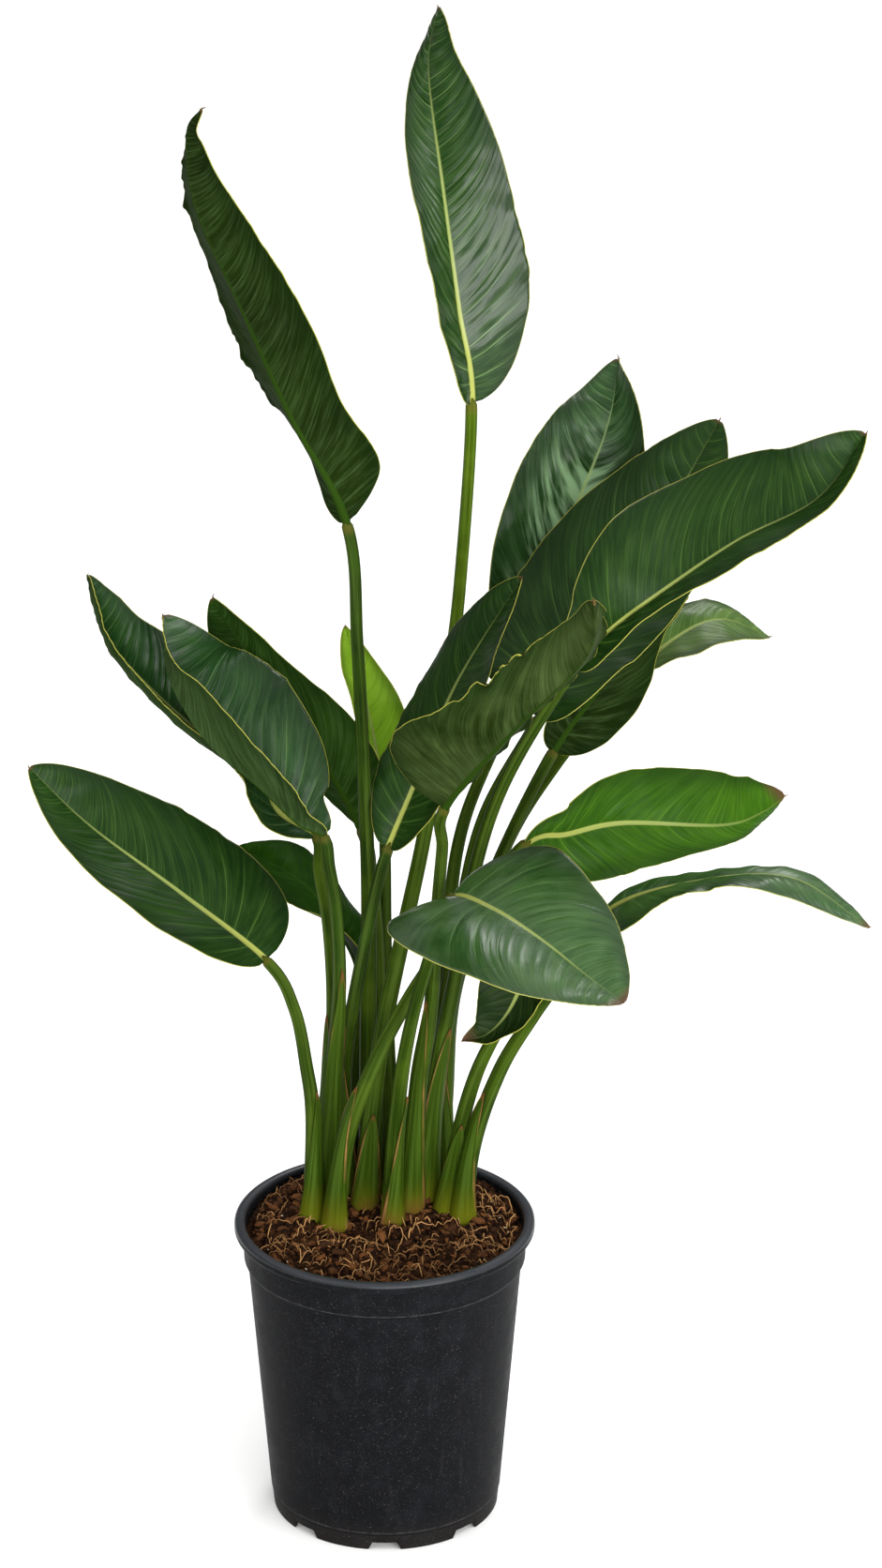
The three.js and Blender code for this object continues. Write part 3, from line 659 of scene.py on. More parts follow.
def make_tips(spines):
    """The dry hooked point at the end of each blade."""
    parts = []
    share = np.linspace(0, 1, TIP_STEPS)
    onto, aside = (share - 0.35 * share**2)[:, None], (0.5 * share**2)[:, None]
    for name, spine in spines.items():
        end = np.array([spine.length - 3])
        start, onward = spine.at(end)[0], spine.onward(end)[0]
        _, _, up, _ = blade_frame(LEAVES[name], spine, np.array([1 - CUT_SHARE]))
        reach = TIP_LENGTH * random.uniform(0.7, 1.2)
        path = start + reach * (onward * onto + up[0] * aside)
        parts.append((*tube(path, lerp(0.9, 0.2, share), TIP_SIDES), random.uniform(0, 1)))
    gather("leaf_tips", parts, TIP_LOOK)


def stalk_radius(share):
    return lerp(STALK_TOP_RADIUS, STALK_FOOT_RADIUS, (1 - share) ** STALK_TAPER)


def stem_notes(across, distance, share):
    """For each point of a grid: its place across, how far it is above the soil, and its share along."""
    return stacked(across, (distance - BURIED)[:, None], share[:, None])


def make_stalk(name, leaf, spine):
    """A stalk from the soil into its blade's foot, with a channel between two low wings along its front."""
    front = blade_frame(leaf, spine, np.zeros(1))[2][0]
    end = spine.foot + STALK_OVERLAP
    distance = np.linspace(0, end, math.ceil(end / STALK_STEP) + 1)
    share = np.clip(distance / spine.foot, 0, 1)
    radius = stalk_radius(share) * lerp(1, 0.35, smooth(spine.foot - 2, end, distance))
    onward = spine.onward(distance)
    turn = np.arange(STALK_SIDES) / STALK_SIDES
    apart = np.minimum(turn, 1 - turn) * 2 * np.pi
    channel = lerp(0.22, 0.12, 1 - share)[:, None] * np.exp(-((apart / 0.42) ** 2))
    wing = 0.02 * np.exp(-(((apart - 0.8) / 0.25) ** 2))
    reach = radius[:, None] * (1 - channel + wing)
    points = ring_points(spine.at(distance), *squared(front, onward), reach, 2 * np.pi * turn)
    notes = stem_notes(np.where(turn > 0.5, turn - 1, turn), distance, share)
    look = STALK_MATERIALS[STALK_LOOK.get(name, "green")]
    faces = tube_faces(len(distance), STALK_SIDES)
    piece = make_mesh(f"stem_{name}", points.reshape(-1, 3), faces, [look], {"stem": notes.reshape(-1, 3)})
    dress(piece, f"stalk_{name}")


def make_sheath(name, spine, way, height, reach):
    """A leaf base that clasps its stalk up to a height, on the side that faces the way given in degrees."""
    share = np.linspace(0, 1, SHEATH_ROWS)
    distance = SHEATH_START + share * (height - SHEATH_START)
    way = np.array([math.sin(math.radians(way)), -math.cos(math.radians(way)), 0])
    u, v = squared(way, spine.onward(distance))
    flare = SHEATH_FLARE * (1 - share) ** 3
    middle = spine.at(distance) + u * (0.4 * flare)[:, None]
    radius = stalk_radius(np.clip(distance / spine.foot, 0, 1)) + SHEATH_GAP + flare
    out = np.linspace(-1, 1, SHEATH_COLUMNS)
    angle = (np.radians(reach) * (1 - share) ** 0.7)[:, None] * out
    lift = 1 + 0.1 * np.abs(out) ** 4
    inner, outer = [
        ring_points(middle, u, v, r[:, None] * lift, angle) for r in (radius, radius + SHEATH_THICKNESS)
    ]
    notes = stem_notes(out, distance, share)
    faces = [face[::-1] for face in shell_faces(SHEATH_ROWS, SHEATH_COLUMNS)]
    stem = {"stem": wrapped(notes, notes)}
    dress(make_mesh(f"sheath_{name}", wrapped(outer, inner), faces, [SHEATH_LOOK], stem))


def linear(hex_colour):
    """A colour as written for screens, as the numbers that a shader takes."""
    parts = [int(hex_colour[i : i + 2], 16) / 255 for i in (1, 3, 5)]
    return [*(p / 12.92 if p <= 0.04045 else ((p + 0.055) / 1.055) ** 2.4 for p in parts), 1]


class Shader:
    """Builds one material from short calls. A value is a number, a colour or another call's result.
    The surface's colour is set first and then painted over in layers."""

    def __init__(self, name):
        self.material = bpy.data.materials.new(name)
        self.material.use_nodes = True
        self.tree = self.material.node_tree
        self.surface = self.tree.nodes["Principled BSDF"]
        self.colour = None

    def node(self, kind, values, **settings):
        """A node with its settings, and with values fed to its first sockets or, by name, to any."""
        node = self.tree.nodes.new("ShaderNode" + kind)
        for key, value in settings.items():
            setattr(node, key, value)
        for socket, value in values.items() if isinstance(values, dict) else enumerate(values):
            self.feed(node.inputs[socket], value)
        return node

    def feed(self, socket, value):
        if isinstance(value, bpy.types.NodeSocket):
            self.tree.links.new(value, socket)
        else:
            socket.default_value = linear(value) if isinstance(value, str) else value

    def math(self, operation, *values):
        return self.node("Math", values, operation=operation).outputs[0]

    def times(self, first, second):
        return self.math("MULTIPLY", first, second)

    def plus(self, first, second):
        return self.math("ADD", first, second)

    def mix(self, share, first, second):
        """The first colour at share 0, the second at share 1."""
        return self.node("Mix", {0: share, 6: first, 7: second}, data_type="RGBA").outputs[2]

    def paint(self, share, colour):
        self.colour = self.mix(share, self.colour, colour)

    def rise(self, value, start, end, low=0, high=1):
        """A smooth rise from low to high as value goes from start to end."""
        values = value, start, end, low, high
        return self.node("MapRange", values, interpolation_type="SMOOTHSTEP").outputs[0]

    def parts(self, vector):
        return self.node("SeparateXYZ", [vector]).outputs[:]

    def noted(self, name):
        """The three numbers of a mesh's own vector."""
        return self.parts(self.node("Attribute", [], attribute_name=name).outputs["Vector"])

    def place(self):
        """The place in metres, with z up from the ground."""
        return self.node("TexCoord", []).outputs["Object"]

    def joined(self, *parts):
        return self.node("CombineXYZ", parts).outputs[0]

    def noise(self, vector, scale, detail=2, roughness=0.5):
        values = {"Vector": vector, "Scale": scale, "Detail": detail, "Roughness": roughness}
        return self.node("TexNoise", values).outputs[0]

    def grain(self, scale, detail=2, roughness=0.5, stretch=(1, 1, 1)):
        """Noise in space, with this many grains in a metre."""
        where = self.node("Mapping", {"Vector": self.place(), "Scale": stretch}).outputs[0]
        return self.noise(where, scale, detail, roughness)

    def streaks(self, across, fine, onward, coarse, share, detail=3, roughness=0.6):
        """Noise that is fine across a surface and coarse onward."""
        where = self.joined(self.times(across, fine), self.times(onward, coarse), share)
        return self.noise(where, 1, detail, roughness)

    def finish(self, roughness, gloss, grain=None, depth=0, strength=1):
        """The finished material, with bumps as deep in mm as said where grain is given."""
        values = {"Base Color": self.colour, "Roughness": roughness, "Specular IOR Level": gloss}
        if grain is not None:
            bump = {"Distance": depth * MM, "Strength": strength, "Height": grain}
            values["Normal"] = self.node("Bump", bump).outputs[0]
        for name, value in values.items():
            self.feed(self.surface.inputs[name], value)
        return self.material


def vein_lines(s, mark, out, veins):
    """Where the side veins show and how strongly, each by its own amount."""
    each = s.noise(s.joined(s.times(s.math("ROUND", mark), 0.83), 0.5, 0.5), 1, 1)
    line = s.rise(s.math("PINGPONG", mark, 0.5), 0.0, 0.055, 1, 0)
    line = s.times(line, s.rise(each, 0.38, 0.62, 0.35 * veins, 1.3 * veins))
    return s.times(line, s.rise(out, 0.97, 0.45))


def rib_line(s, off, share):
    """Where the midrib shows, ever narrower and fainter to the tip."""
    half = s.math("MULTIPLY_ADD", share, -2.7, 3.0)
    line = s.rise(s.math("SUBTRACT", off, half), -0.7, 0.5, 1, 0)
    return s.times(line, s.rise(share, 0.45, 0.95, 1, 0.25))


def leaf_material(name, look, colours, rib, veins, shine, rough, painted_sheen=None):
    """One face of a blade in its main colour and its patches'. veins: how strongly the side veins show.
    bloom: where given, the colour of a pale painted sheen over the middle of the face.
    """
    s = Shader(name)
    mark, across, share = s.noted("place")
    out, edge = s.noted("margin")[:2]
    off = s.math("ABSOLUTE", across)
    patches = s.grain(18, 3, 0.6)
    fine = s.streaks(mark, 6.0, off, 0.04, share)
    bands = s.streaks(mark, 0.83, off, 0.03, share, 2)
    s.colour = s.mix(s.rise(patches, 0.35, 0.7, 0, 0.45), *colours)
    s.paint(s.rise(bands, 0.4, 0.7, 0, 0.4), colours[1])
    s.paint(s.rise(fine, 0.4, 0.8, 0, 0.15), look["vein"])
    s.paint(s.rise(fine, 0.5, 0.25, 0, 0.3), DEEP_GREEN)
    s.paint(s.rise(out, 0.5, 1, 0, 0.5), DEEP_GREEN)
    # Painted sheen: pale streaks along the veins over the middle of the upper face, in the colour bloom.
    if painted_sheen:
        sheen_area = s.times(s.rise(out, 0.85, 0.4), s.rise(share, 0.85, 0.55))
        s.paint(s.times(sheen_area, s.rise(bands, 0.38, 0.62)), painted_sheen)
    s.paint(vein_lines(s, mark, out, veins), look["vein"])
    s.paint(rib_line(s, off, share), s.mix(s.rise(share, 0, 0.5), *rib))
    margin = s.rise(s.plus(edge, s.times(fine, -0.3)), 0.05, 0.5, 1, 0)
    s.paint(s.times(margin, 0.85), MARGIN_YELLOW)
    reach = 1 - look["dry"]
    tip = s.rise(s.math("MULTIPLY_ADD", patches, 1.5 * reach, share), 1 - reach, 1 + 0.7 * reach)
    s.paint(tip, DRY_TIP)
    roughness = s.rise(patches, 0.3, 0.7, rough - 0.05, rough + 0.05)
    return s.finish(roughness, shine, s.plus(fine, s.times(patches, 0.5)), 0.3, 0.6)


def leaf_materials(name, look):
    """The materials of a blade's upper and lower face."""
    gloss = look["shine"], look["rough"], look["painted_sheen"]
    upper = leaf_material(f"leaf_{name}", look, look["upper"], look["rib"], 0.32, *gloss)
    lower = leaf_material(f"leaf_{name}_under", look, look["lower"], LOWER_RIB, 0.08, 0.004, 0.5)
    return [upper, lower]


def stalk_material(name, tone):
    """A stalk that is green at its foot and takes its own tone higher up, with an earthy, spotted foot. The
    deep tone higher up is painted shade and the lit tone painted light.
    """
    s = Shader(name)
    turn, height, share = s.noted("stem")
    streak = s.streaks(turn, 60, height, 0.012, share)
    flute = s.streaks(turn, 14, height, 0.006, share, 1, 0.5)
    patch = s.grain(22, 3)
    upward = s.rise(share, 0.45, 0.75)
    dark, light = (s.mix(upward, low, high) for low, high in zip(STALK_TONES["green"], tone))
    s.colour = s.mix(s.rise(patch, 0.35, 0.7), dark, light)
    # Pale streaks and flutes along the stalk: partly its own striping, partly painted highlights along its
    # ridges.
    s.paint(s.rise(streak, 0.45, 0.75, 0, 0.35), s.mix(0.4, light, "#6b861f"))
    s.paint(s.rise(flute, 0.4, 0.7, 0, 0.35), s.mix(0.4, light, "#76903f"))
    yellow = s.times(s.rise(height, 2, 45, 0.7, 0), s.rise(patch, 0.3, 0.6, 0.4, 1))
    s.paint(yellow, FOOT_YELLOW)
    joint = s.rise(share, 0.985, 0.998, 0, 0.6)
    s.paint(joint, "#4f4a1c")
    earth = s.rise(s.plus(height, s.times(streak, 30)), 12, 30, 0.8, 0)
    s.paint(earth, "#6d4d2c")
    spots = s.times(s.rise(s.grain(150), 0.64, 0.7), s.rise(height, 90, 10, 0, 0.8))
    s.paint(spots, "#3f280f")
    return s.finish(0.45, 0.02, streak, 0.3, 0.6)


def sheath_material():
    """A fluted green leaf base with a yellow foot and dry brown edges and end."""
    s = Shader("sheath")
    out, height, share = s.noted("stem")
    streak = s.streaks(out, 30, height, 0.012, share)
    flute = s.streaks(out, 5, height, 0.006, share, 1, 0.5)
    patch = s.grain(28, stretch=(1, 1, 0.5))
    s.colour = s.mix(s.rise(streak, 0.35, 0.7), "#1e3206", "#3a4e0d")
    s.paint(s.rise(flute, 0.4, 0.7, 0, 0.4), "#506a26")
    s.paint(s.rise(height, 0, 45, 0.6, 0), FOOT_YELLOW)
    edge = s.plus(s.math("ABSOLUTE", out), s.times(s.math("SUBTRACT", streak, 0.5), 0.25))
    dry = s.times(s.rise(edge, 0.8, 0.95), s.rise(patch, 0.42, 0.6))
    s.paint(dry, s.mix(s.rise(streak, 0.4, 0.6), "#6e4426", "#9a7446"))
    earth = s.times(s.rise(height, 30, 5), s.rise(patch, 0.5, 0.65, 0, 0.8))
    s.paint(earth, "#5d3d1c")
    s.paint(s.rise(share, 0.93, 1), "#6d4526")
    return s.finish(0.45, 0.02, streak, 0.3, 0.7)


def rise_between(s, height, start, end, low=0, high=1):
    """A rise between two heights in mm of a height in metres."""
    return s.rise(height, start * MM, end * MM, low, high)


def edge_line(s, height, level):
    """1 on the moulded edge at this level in mm, fading out within a millimetre on each side."""
    above = rise_between(s, height, level, level + 1, 1, 0)
    return s.times(rise_between(s, height, level - 1, level), above)


def pot_material(name, gloss):
    """Black plastic with dust, pale specks and upright scuffs. The top of the lip is painted paler as a
    highlight; under each moulded edge runs a dark line of painted shadow, and along the edge a pale line of
    scuffed wear and painted highlight.
    """
    s = Shader(name)
    height = s.parts(s.place())[2]
    dust = s.grain(60, 6, 0.7)
    scuff = s.grain(160, 4, 0.6, (1, 1, 0.12))
    s.colour = s.mix(s.rise(dust, 0.4, 0.75), "#0f1012", "#17181b")
    s.paint(s.rise(scuff, 0.55, 0.8, 0, 0.3), "#2a2a2b")
    s.paint(s.rise(s.grain(900, 2, 0.6), 0.62, 0.73, 0, 0.75), "#4c4842")
    # A paler band on top of the lip: painted highlight.
    s.paint(rise_between(s, height, POT_HEIGHT - 4.5, POT_HEIGHT - 0.8, 0, 0.7), "#2f3237")
    # Along each moulded edge: a dark line of painted shadow just under it, and a pale line on it that is
    # partly scuffed wear and partly painted highlight.
    for edge in (COLLAR_BOTTOM + 2.5, SEAM_HEIGHT + 1):
        s.paint(s.times(edge_line(s, height, edge - 2.2), 0.7), "#050506")
        wear_and_highlight = s.times(edge_line(s, height, edge), s.rise(scuff, 0.35, 0.6, 0.1, 0.45))
        s.paint(wear_and_highlight, "#4a4a4c")
    splash = rise_between(s, s.plus(height, s.times(dust, 0.02)), 12, 40, 0.15, 0)
    s.paint(splash, "#3b342c")
    smoother = rise_between(s, height, POT_HEIGHT - 16, POT_HEIGHT - 6, 0.42, 0.26)
    rough = s.plus(s.rise(dust, 0.3, 0.7, 0, 0.12), smoother)
    return s.finish(rough, gloss, s.grain(1400, 2, 0.6), 0.08, 0.5)


def soil_material():
    """Damp peat, with lighter grains and patches."""
    s = Shader("soil_bed")
    grain = s.grain(260, 5, 0.7)
    s.colour = s.mix(s.rise(grain, 0.35, 0.7), "#0b0502", "#38200f")
    s.paint(s.rise(s.grain(45, 3, 0.6), 0.5, 0.75, 0, 0.4), "#55321a")
    return s.finish(0.95, 0.1, grain, 1.5)


def tinted_material(name, dark, light, special):
    """Bits that each have a tint from 0 to 1 between two colours; a tint over 1 takes the special one."""
    s = Shader(name)
    tint = s.noted("tint")[0]
    grain = s.grain(500, 3, 0.6)
    s.colour = s.mix(s.plus(s.times(tint, 0.7), s.times(grain, 0.3)), dark, light)
    s.paint(s.rise(tint, 1.2, 1.6), special)
    return s.finish(0.85, 0.15, grain, 0.3, 0.8)


def floor_material():
    s = Shader("floor")
    s.colour = s.mix(s.rise(s.grain(2), 0.3, 0.7), "#fdfdfc", "#fbfbfa")
    return s.finish(0.9, 0.5)


def lathe(name, profile, sides, material):
    """A body of revolution from [radius, height] points, closed at the axis at both ends."""
    rings = stacked(*circle(profile[1:-1, :1], sides), profile[1:-1, 1:])
    points = np.concatenate([[[0, 0, profile[0, 1]]], rings.reshape(-1, 3), [[0, 0, profile[-1, 1]]]])
    steps = [(k, (k + 1) % sides) for k in range(sides)]
    last, top = 1 + (len(rings) - 1) * sides, len(points) - 1
    bottom_faces = [[0, 1 + after, 1 + k] for k, after in steps]
    top_faces = [[last + k, last + after, top] for k, after in steps]
    skin = (1 + ring_faces(len(rings), sides)).tolist()
    return make_mesh(name, points, bottom_faces + skin + top_faces, [material])


def rounded(profile, radius=1.2, steps=4):
    """The profile with its corners turned into short arcs."""
    profile = np.array(profile, float)
    out = [profile[0]]
    for before, corner, after in zip(profile[:-2], profile[1:-1], profile[2:]):
        to_before, to_after = before - corner, after - corner
        room = min(np.linalg.norm(to_before), np.linalg.norm(to_after)) * 0.45
        cut = min(radius, room)
        start = corner + unit(to_before) * cut
        end = corner + unit(to_after) * cut
        for share in np.linspace(0, 1, steps):
            out.append(lerp(lerp(start, corner, share), lerp(corner, end, share), share))
    out.append(profile[-1])
    return np.array(out)


def inner_wall():
    """Radius and height of the inner wall's corners, from the floor to below the lip."""
    return [
        [FOOT_RADIUS - WALL + 1, FLOOR_TOP],
        [COLLAR_RADIUS - WALL - 3, COLLAR_BOTTOM - 5],
        [COLLAR_RADIUS - WALL, COLLAR_BOTTOM],
        [RIM_RADIUS - LIP_WIDTH, POT_HEIGHT - 3],
    ]


def pot_profile():
    """The pot's outline: under the floor, up the outer wall, over the lip and down the inner wall."""
    lip_bottom = POT_HEIGHT - LIP_HEIGHT
    foot_inside = FOOT_RADIUS - WALL
    return [
        [0, 0], [BOSS_RADIUS, 0], [BOSS_RADIUS + 3, FLOOR_UNDERSIDE],
        [foot_inside, FLOOR_UNDERSIDE], [foot_inside, 0], [FOOT_RADIUS, 0],
        [FOOT_RADIUS + 1.2, SEAM_HEIGHT - 0.5], [FOOT_RADIUS + 1.9, SEAM_HEIGHT + 0.5],
        [COLLAR_RADIUS - 3, COLLAR_BOTTOM - 1], [COLLAR_RADIUS, COLLAR_BOTTOM + 2],
        [COLLAR_RADIUS + 1, lip_bottom - 1], [RIM_RADIUS - 1, lip_bottom],
        [RIM_RADIUS, lip_bottom + 1.5], [RIM_RADIUS, POT_HEIGHT - 2.5],
        [RIM_RADIUS - 1.8, POT_HEIGHT - 0.5], [RIM_RADIUS - 4.5, POT_HEIGHT],
        [RIM_RADIUS - LIP_WIDTH + 1.5, POT_HEIGHT - 0.8],
        *inner_wall()[::-1], [0, FLOOR_TOP],
    ]


def notch_cutter(index):
    """A block, wider at the bottom, that cuts one notch through the foot of the wall."""
    turn = 2 * math.pi * index / NOTCHES
    out = np.array([math.sin(turn), -math.cos(turn), 0])
    across = np.array([math.cos(turn), math.sin(turn), 0])
    half, top_half = NOTCH_WIDTH / 2 + 1, NOTCH_TOP_WIDTH / 2
    corners = [(-half, -2), (half, -2), (top_half, NOTCH_HEIGHT), (-top_half, NOTCH_HEIGHT)]
    ends = FOOT_RADIUS - NOTCH_REACH, FOOT_RADIUS + NOTCH_REACH
    points = [across * x + out * r + [0, 0, z] for r in ends for x, z in corners]
    faces = [[3, 2, 1, 0], [4, 5, 6, 7], [0, 1, 5, 4], [1, 2, 6, 5], [2, 3, 7, 6], [3, 0, 4, 7]]
    return make_mesh(f"cutter_{index}", points, faces, [POT_LOOK])


def make_pot():
    """The pot with its notches cut and a glossier band on top of its lip."""
    pot = lathe("pot_body", rounded(pot_profile()), POT_SIDES, POT_LOOK)
    pot.data.set_sharp_from_angle(angle=math.radians(POT_SHARP_ANGLE))
    for index in range(NOTCHES):
        cutter = notch_cutter(index)
        cut = pot.modifiers.new("notch", "BOOLEAN")
        cut.operation, cut.solver, cut.object = "DIFFERENCE", "EXACT", cutter
        with bpy.context.temp_override(object=pot, active_object=pot, selected_objects=[pot]):
            bpy.ops.object.modifier_apply(modifier=cut.name)
        bpy.data.objects.remove(cutter)
    pot.data.materials.append(LIP_LOOK)
    for face in pot.data.polygons:
        face.material_index = int(face.center.z > (POT_HEIGHT - LIP_SHINE_DEPTH) * MM)
    dress(pot, "pot")


def soil_height(x, y):
    """The soil's height above the plane of its edge, as its solid has it."""
    return SOIL_RELIEF * (np.sin(x / 17 + 0.6) * np.cos(y / 14) + 0.5 * np.sin((x + y) / 9))


def soil_edge():
    """Radius of the soil's edge, just clear of the wall."""
    *_, collar, rim = inner_wall()
    share = (SOIL_TOP - collar[1]) / (rim[1] - collar[1])
    return lerp(collar[0], rim[0], share) - SOIL_GAP


def clod_waves():
    """Size, height, turn and shifts of the waves that make the soil's clods and grains."""
    waves = []
    for size, height in CLOD_SIZES:
        for _ in range(3):
            waves.append((size, height, random.uniform(0, np.pi), *random.uniform(0, 6.28, 2)))
    return waves


def clods(x, y):
    """Height of the clods and grains at each place."""
    total = np.zeros_like(x, dtype=float)
    for size, height, turn, shift_p, shift_q in CLOD_WAVES:
        p, q = x * np.cos(turn) + y * np.sin(turn), y * np.cos(turn) - x * np.sin(turn)
        across = np.sin(p * 2 * np.pi / size + shift_p + np.sin(q / size))
        total += height / 2 * across * np.sin(q * 2 * np.pi / size + shift_q + np.sin(1.3 * p / size))
    return total - 0.5 * np.abs(total)


def soil_level(x, y):
    """Height of the soil's top at each place."""
    edge = soil_edge()
    bank = SOIL_BANK * smooth(-0.6 * edge, edge, y)
    return SOIL_TOP + bank + soil_height(x, y) * smooth(edge, edge * 0.8, np.hypot(x, y)) + clods(x, y)


def make_soil():
    """The soil's fine top over the same sides and underside as its solid."""
    x, y = circle(soil_edge() * np.linspace(0.01, 1, SOIL_RINGS)[:, None], SOIL_SIDES)
    rings = [*stacked(x, y, soil_level(x, y))]
    floor, neck, collar, _ = inner_wall()
    for radius, z in (collar, neck, [floor[0], FLOOR_TOP + SOIL_GAP]):
        rings.append(stacked(*circle(radius - SOIL_GAP, SOIL_SIDES), z))
    last = (len(rings) - 1) * SOIL_SIDES
    skin = ring_faces(len(rings), SOIL_SIDES)[:, [0, 3, 2, 1]].tolist()
    faces = skin + [[*range(SOIL_SIDES)], [*range(last, last + SOIL_SIDES)][::-1]]
    dress(make_mesh("soil_bed", np.concatenate(rings), faces, [SOIL_LOOK]), "soil")


def tube(path, radius, sides):
    """Points and faces of a closed thin tube along a path; radius is one number for each point."""
    onward = unit(np.gradient(path, axis=0))
    aside = unit(np.cross(onward, [0.1, 0.2, 1]))
    points = ring_points(path, aside, np.cross(aside, onward), radius[:, None], turns(sides))
    return points.reshape(-1, 3), tube_faces(len(path), sides)


def gather(name, parts, material):
    """One mesh from many (points, faces, tint) parts. The tint is kept for the material."""
    points, faces, tints, start = [], [], [], 0
    for part_points, part_faces, tint in parts:
        points.append(part_points)
        faces += [[start + k for k in face] for face in part_faces]
        tints.append(np.tile([tint, 0, 0], (len(part_points), 1)))
        start += len(part_points)
    piece = make_mesh(name, np.concatenate(points), faces, [material], {"tint": np.concatenate(tints)})
    dress(piece)
    return piece


def random_place(edge, inner=0):
    """A place within the edge, or in its outer part where inner is over 0."""
    spread, around = edge * math.sqrt(random.uniform(inner, 1)), random.uniform(0, 2 * math.pi)
    return spread * math.cos(around), spread * math.sin(around)


def wander(edge):
    """The places of a root that curls over the soil and turns back at the edge."""
    x, y = random_place(edge)
    heading, bend = random.uniform(0, 2 * math.pi), random.normal(0, 0.07)
    steps = int(random.uniform(4, 12) + 16 * random.uniform(0, 1) ** 3)
    places = []
    for _ in range(steps):
        places.append((x, y))
        bend = 0.75 * bend + random.normal(0, 0.11)
        heading += bend
        x, y = x + ROOT_STEP * math.cos(heading), y + ROOT_STEP * math.sin(heading)
        if math.hypot(x, y) > edge:
            heading += 0.7
            x, y = places[-1][0] * 0.99, places[-1][1] * 0.99
    return np.array(places).T


def make_roots():
    """Thin roots that arch over and through the soil's top."""
    parts = []
    for _ in range(ROOTS):
        x, y = wander(soil_edge() - 3)
        share = np.linspace(0, 1, len(x))
        arch = random.uniform(0, 6) * np.sin(np.pi * share) ** 0.7 + 1.6 - 1.8 * share
        thick = random.uniform(0.15, 0.5) * (1 - 0.6 * share) + 0.1
        path = stacked(x, y, soil_level(x, y) + arch)
        parts.append((*tube(path, thick, 5), random.uniform(0, 1)))
    gather("soil_roots", parts, ROOT_LOOK)


# A crumb before it is squeezed and turned: an icosahedron
CRUMB = [[0, 0, 1], [0.9, 0, 0.45], [0.28, 0.85, 0.45], [-0.72, 0.53, 0.45], [-0.72, -0.53, 0.45],
         [0.28, -0.85, 0.45], [0.72, 0.53, -0.45], [-0.28, 0.85, -0.45], [-0.9, 0, -0.45],
         [-0.28, -0.85, -0.45], [0.72, -0.53, -0.45], [0, 0, -1]]
CRUMB_FACES = [[0, 1, 2], [0, 2, 3], [0, 3, 4], [0, 4, 5], [0, 5, 1], [1, 6, 2], [2, 7, 3], [3, 8, 4],
               [4, 9, 5], [5, 10, 1], [6, 7, 2], [7, 8, 3], [8, 9, 4], [9, 10, 5], [10, 6, 1],
               [11, 7, 6], [11, 8, 7], [11, 9, 8], [11, 10, 9], [11, 6, 10]]


def make_crumbs():
    """Bits of bark and peat on the soil, and a few pale grains in the outer part."""
    parts = []
    for index in range(CRUMBS + GRAINS):
        grain = index >= CRUMBS
        x, y = random_place(soil_edge() - 4, 0.55 if grain else 0)
        long = random.uniform(0.8, 1.6) if grain else random.uniform(1, 2.4) + 5 * random.uniform(0, 1) ** 6
        size = [long, long * random.uniform(0.35, 0.8), long * random.uniform(0.25, 0.6)]
        points = np.array(CRUMB) * random.uniform(0.75, 1.2, (12, 1)) * size
        lean, turn = random.normal(0, 0.45), random.uniform(0, 2 * math.pi)
        turned = np.array(Matrix.Rotation(turn, 3, "Z") @ Matrix.Rotation(lean, 3, "Y"))
        level = float(soil_level(np.array(x), np.array(y))) + size[2] * 0.4
        points = points @ turned.T + [x, y, level]
        parts.append((points, CRUMB_FACES, 2.0 if grain else random.uniform(0, 1)))
    gather("soil_crumbs", parts, CRUMB_LOOK).data.shade_flat()


def look_along(thing, way):
    thing.rotation_euler = way.to_track_quat("-Z", "Y").to_euler()


def make_camera():
    camera = add_object("camera", bpy.data.cameras.new("camera"))
    camera.data.sensor_width = SENSOR
    camera.data.lens = FOCAL_PIXELS / IMAGE_HEIGHT * SENSOR
    camera.data.clip_end = CAMERA_REACH
    slope = math.radians(CAMERA_ELEVATION)
    back = Vector((0, -math.cos(slope), math.sin(slope)))
    camera.location = Vector(CAMERA_AIM) + back * CAMERA_DISTANCE
    look_along(camera, -back)
    bpy.context.scene.camera = camera


def make_lamp(name, place, aim, width, height, power):
    """A soft box that looks at a point."""
    light = bpy.data.lights.new(name, "AREA")
    light.shape, light.size, light.size_y, light.energy = "RECTANGLE", width, height, power
    lamp = add_object(name, light)
    lamp.location = place
    look_along(lamp, Vector(aim) - Vector(place))


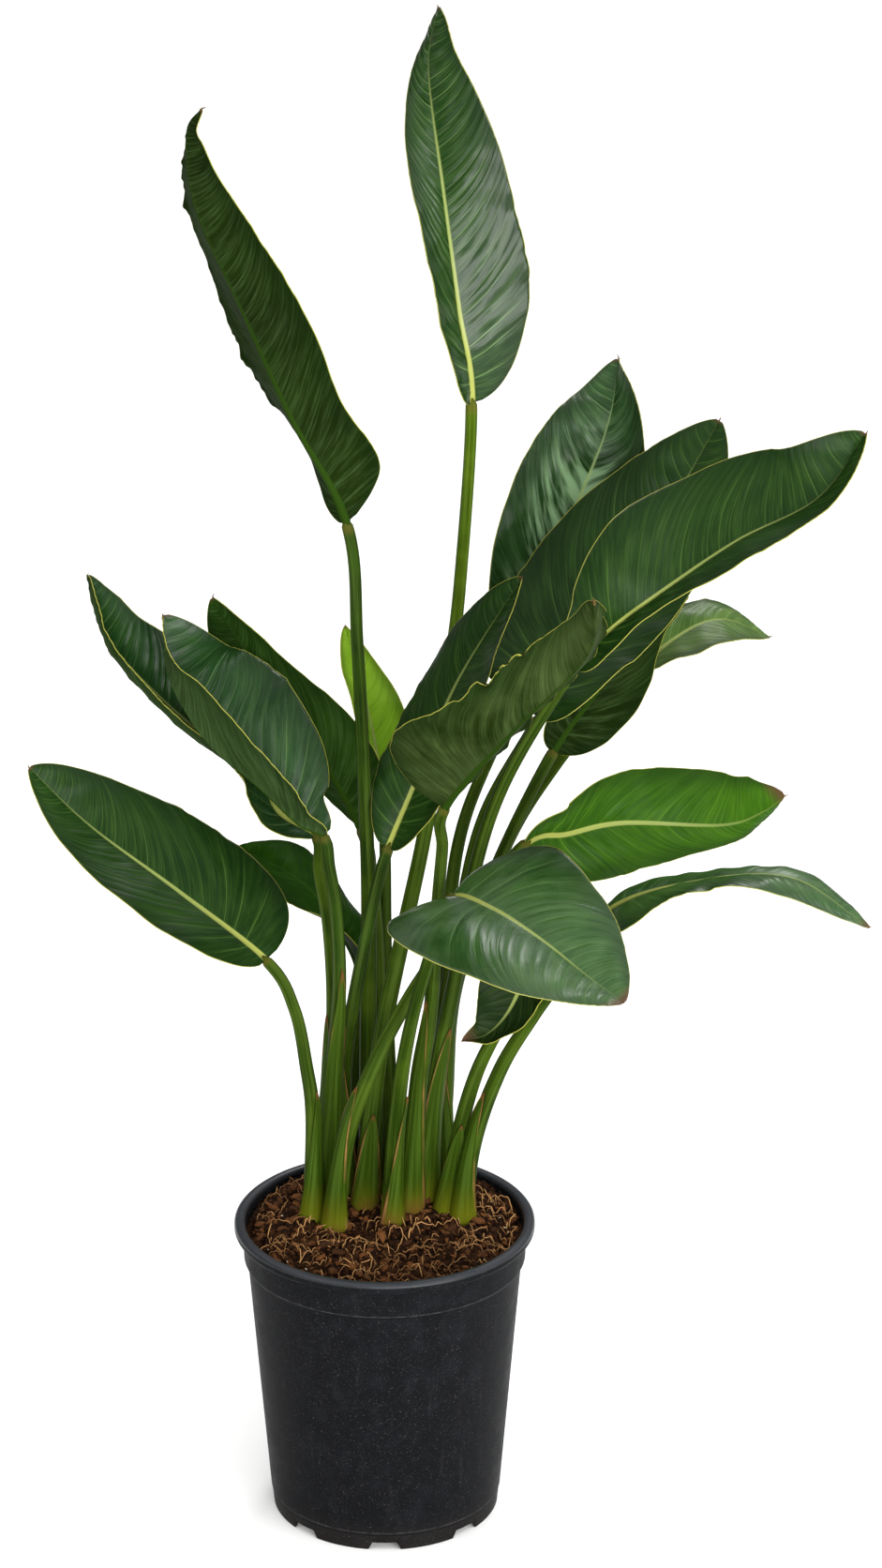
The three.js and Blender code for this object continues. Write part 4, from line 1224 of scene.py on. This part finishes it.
def make_world():
    """A white backdrop that lights the plant less than it shows."""
    world = bpy.data.worlds.new("studio")
    world.use_nodes = True
    nodes, links = world.node_tree.nodes, world.node_tree.links
    backdrop = nodes["Background"]
    backdrop.inputs["Color"].default_value = (1, 1, 1, 1)
    strength = nodes.new("ShaderNodeMapRange")
    strength.inputs["To Min"].default_value = BACKDROP_LIGHT
    strength.inputs["To Max"].default_value = 1
    links.new(nodes.new("ShaderNodeLightPath").outputs["Is Camera Ray"], strength.inputs["Value"])
    links.new(strength.outputs[0], backdrop.inputs["Strength"])
    bpy.context.scene.world = world


def make_studio():
    """The floor, the backdrop, the soft boxes and the sky."""
    half = FLOOR_HALF
    corners = [[-half, -half, 0], [half, -half, 0], [half, half, 0], [-half, half, 0]]
    floor = make_mesh("floor", corners, [[0, 1, 2, 3]], [floor_material()])
    make_world()
    bpy.context.scene.view_settings.view_transform = "Standard"
    for name, lamp in LAMPS.items():
        make_lamp(name, *lamp)
    sky = add_object("sky", bpy.data.lights.new("sky", "SUN"))
    sky.data.energy = SKY_POWER
    sky.data.angle = math.radians(SKY_SPREAD)
    sky.rotation_euler = (*np.radians(SKY_TILT), 0)


LEAF_MATERIALS = {name: leaf_materials(name, look) for name, look in LOOKS.items()}
STALK_MATERIALS = {name: stalk_material(f"stalk_{name}", tone) for name, tone in STALK_TONES.items()}
SHEATH_LOOK = sheath_material()
POT_LOOK = pot_material("pot_plastic", 0.025)
LIP_LOOK = pot_material("pot_lip", 0.24)
SOIL_LOOK = soil_material()
ROOT_LOOK = tinted_material("roots", "#4a2a12", "#cf9c63", "#cf9c63")
CRUMB_LOOK = tinted_material("crumbs", "#100703", "#6e4320", "#c4b496")
TIP_LOOK = tinted_material("tips", "#3c2a12", "#6b5225", "#6b5225")
CLOD_WAVES = clod_waves()

make_camera()
make_studio()
make_pot()
make_soil()
make_roots()
make_crumbs()
SPINES = {name: Spine(leaf) for name, leaf in LEAVES.items()}
for leaf_name, leaf_spine in SPINES.items():
    make_stalk(leaf_name, LEAVES[leaf_name], leaf_spine)
    make_blade(leaf_name, LEAVES[leaf_name], leaf_spine)
    if leaf_name in SHEATHS:
        make_sheath(leaf_name, leaf_spine, *SHEATHS[leaf_name])
make_tips(SPINES)
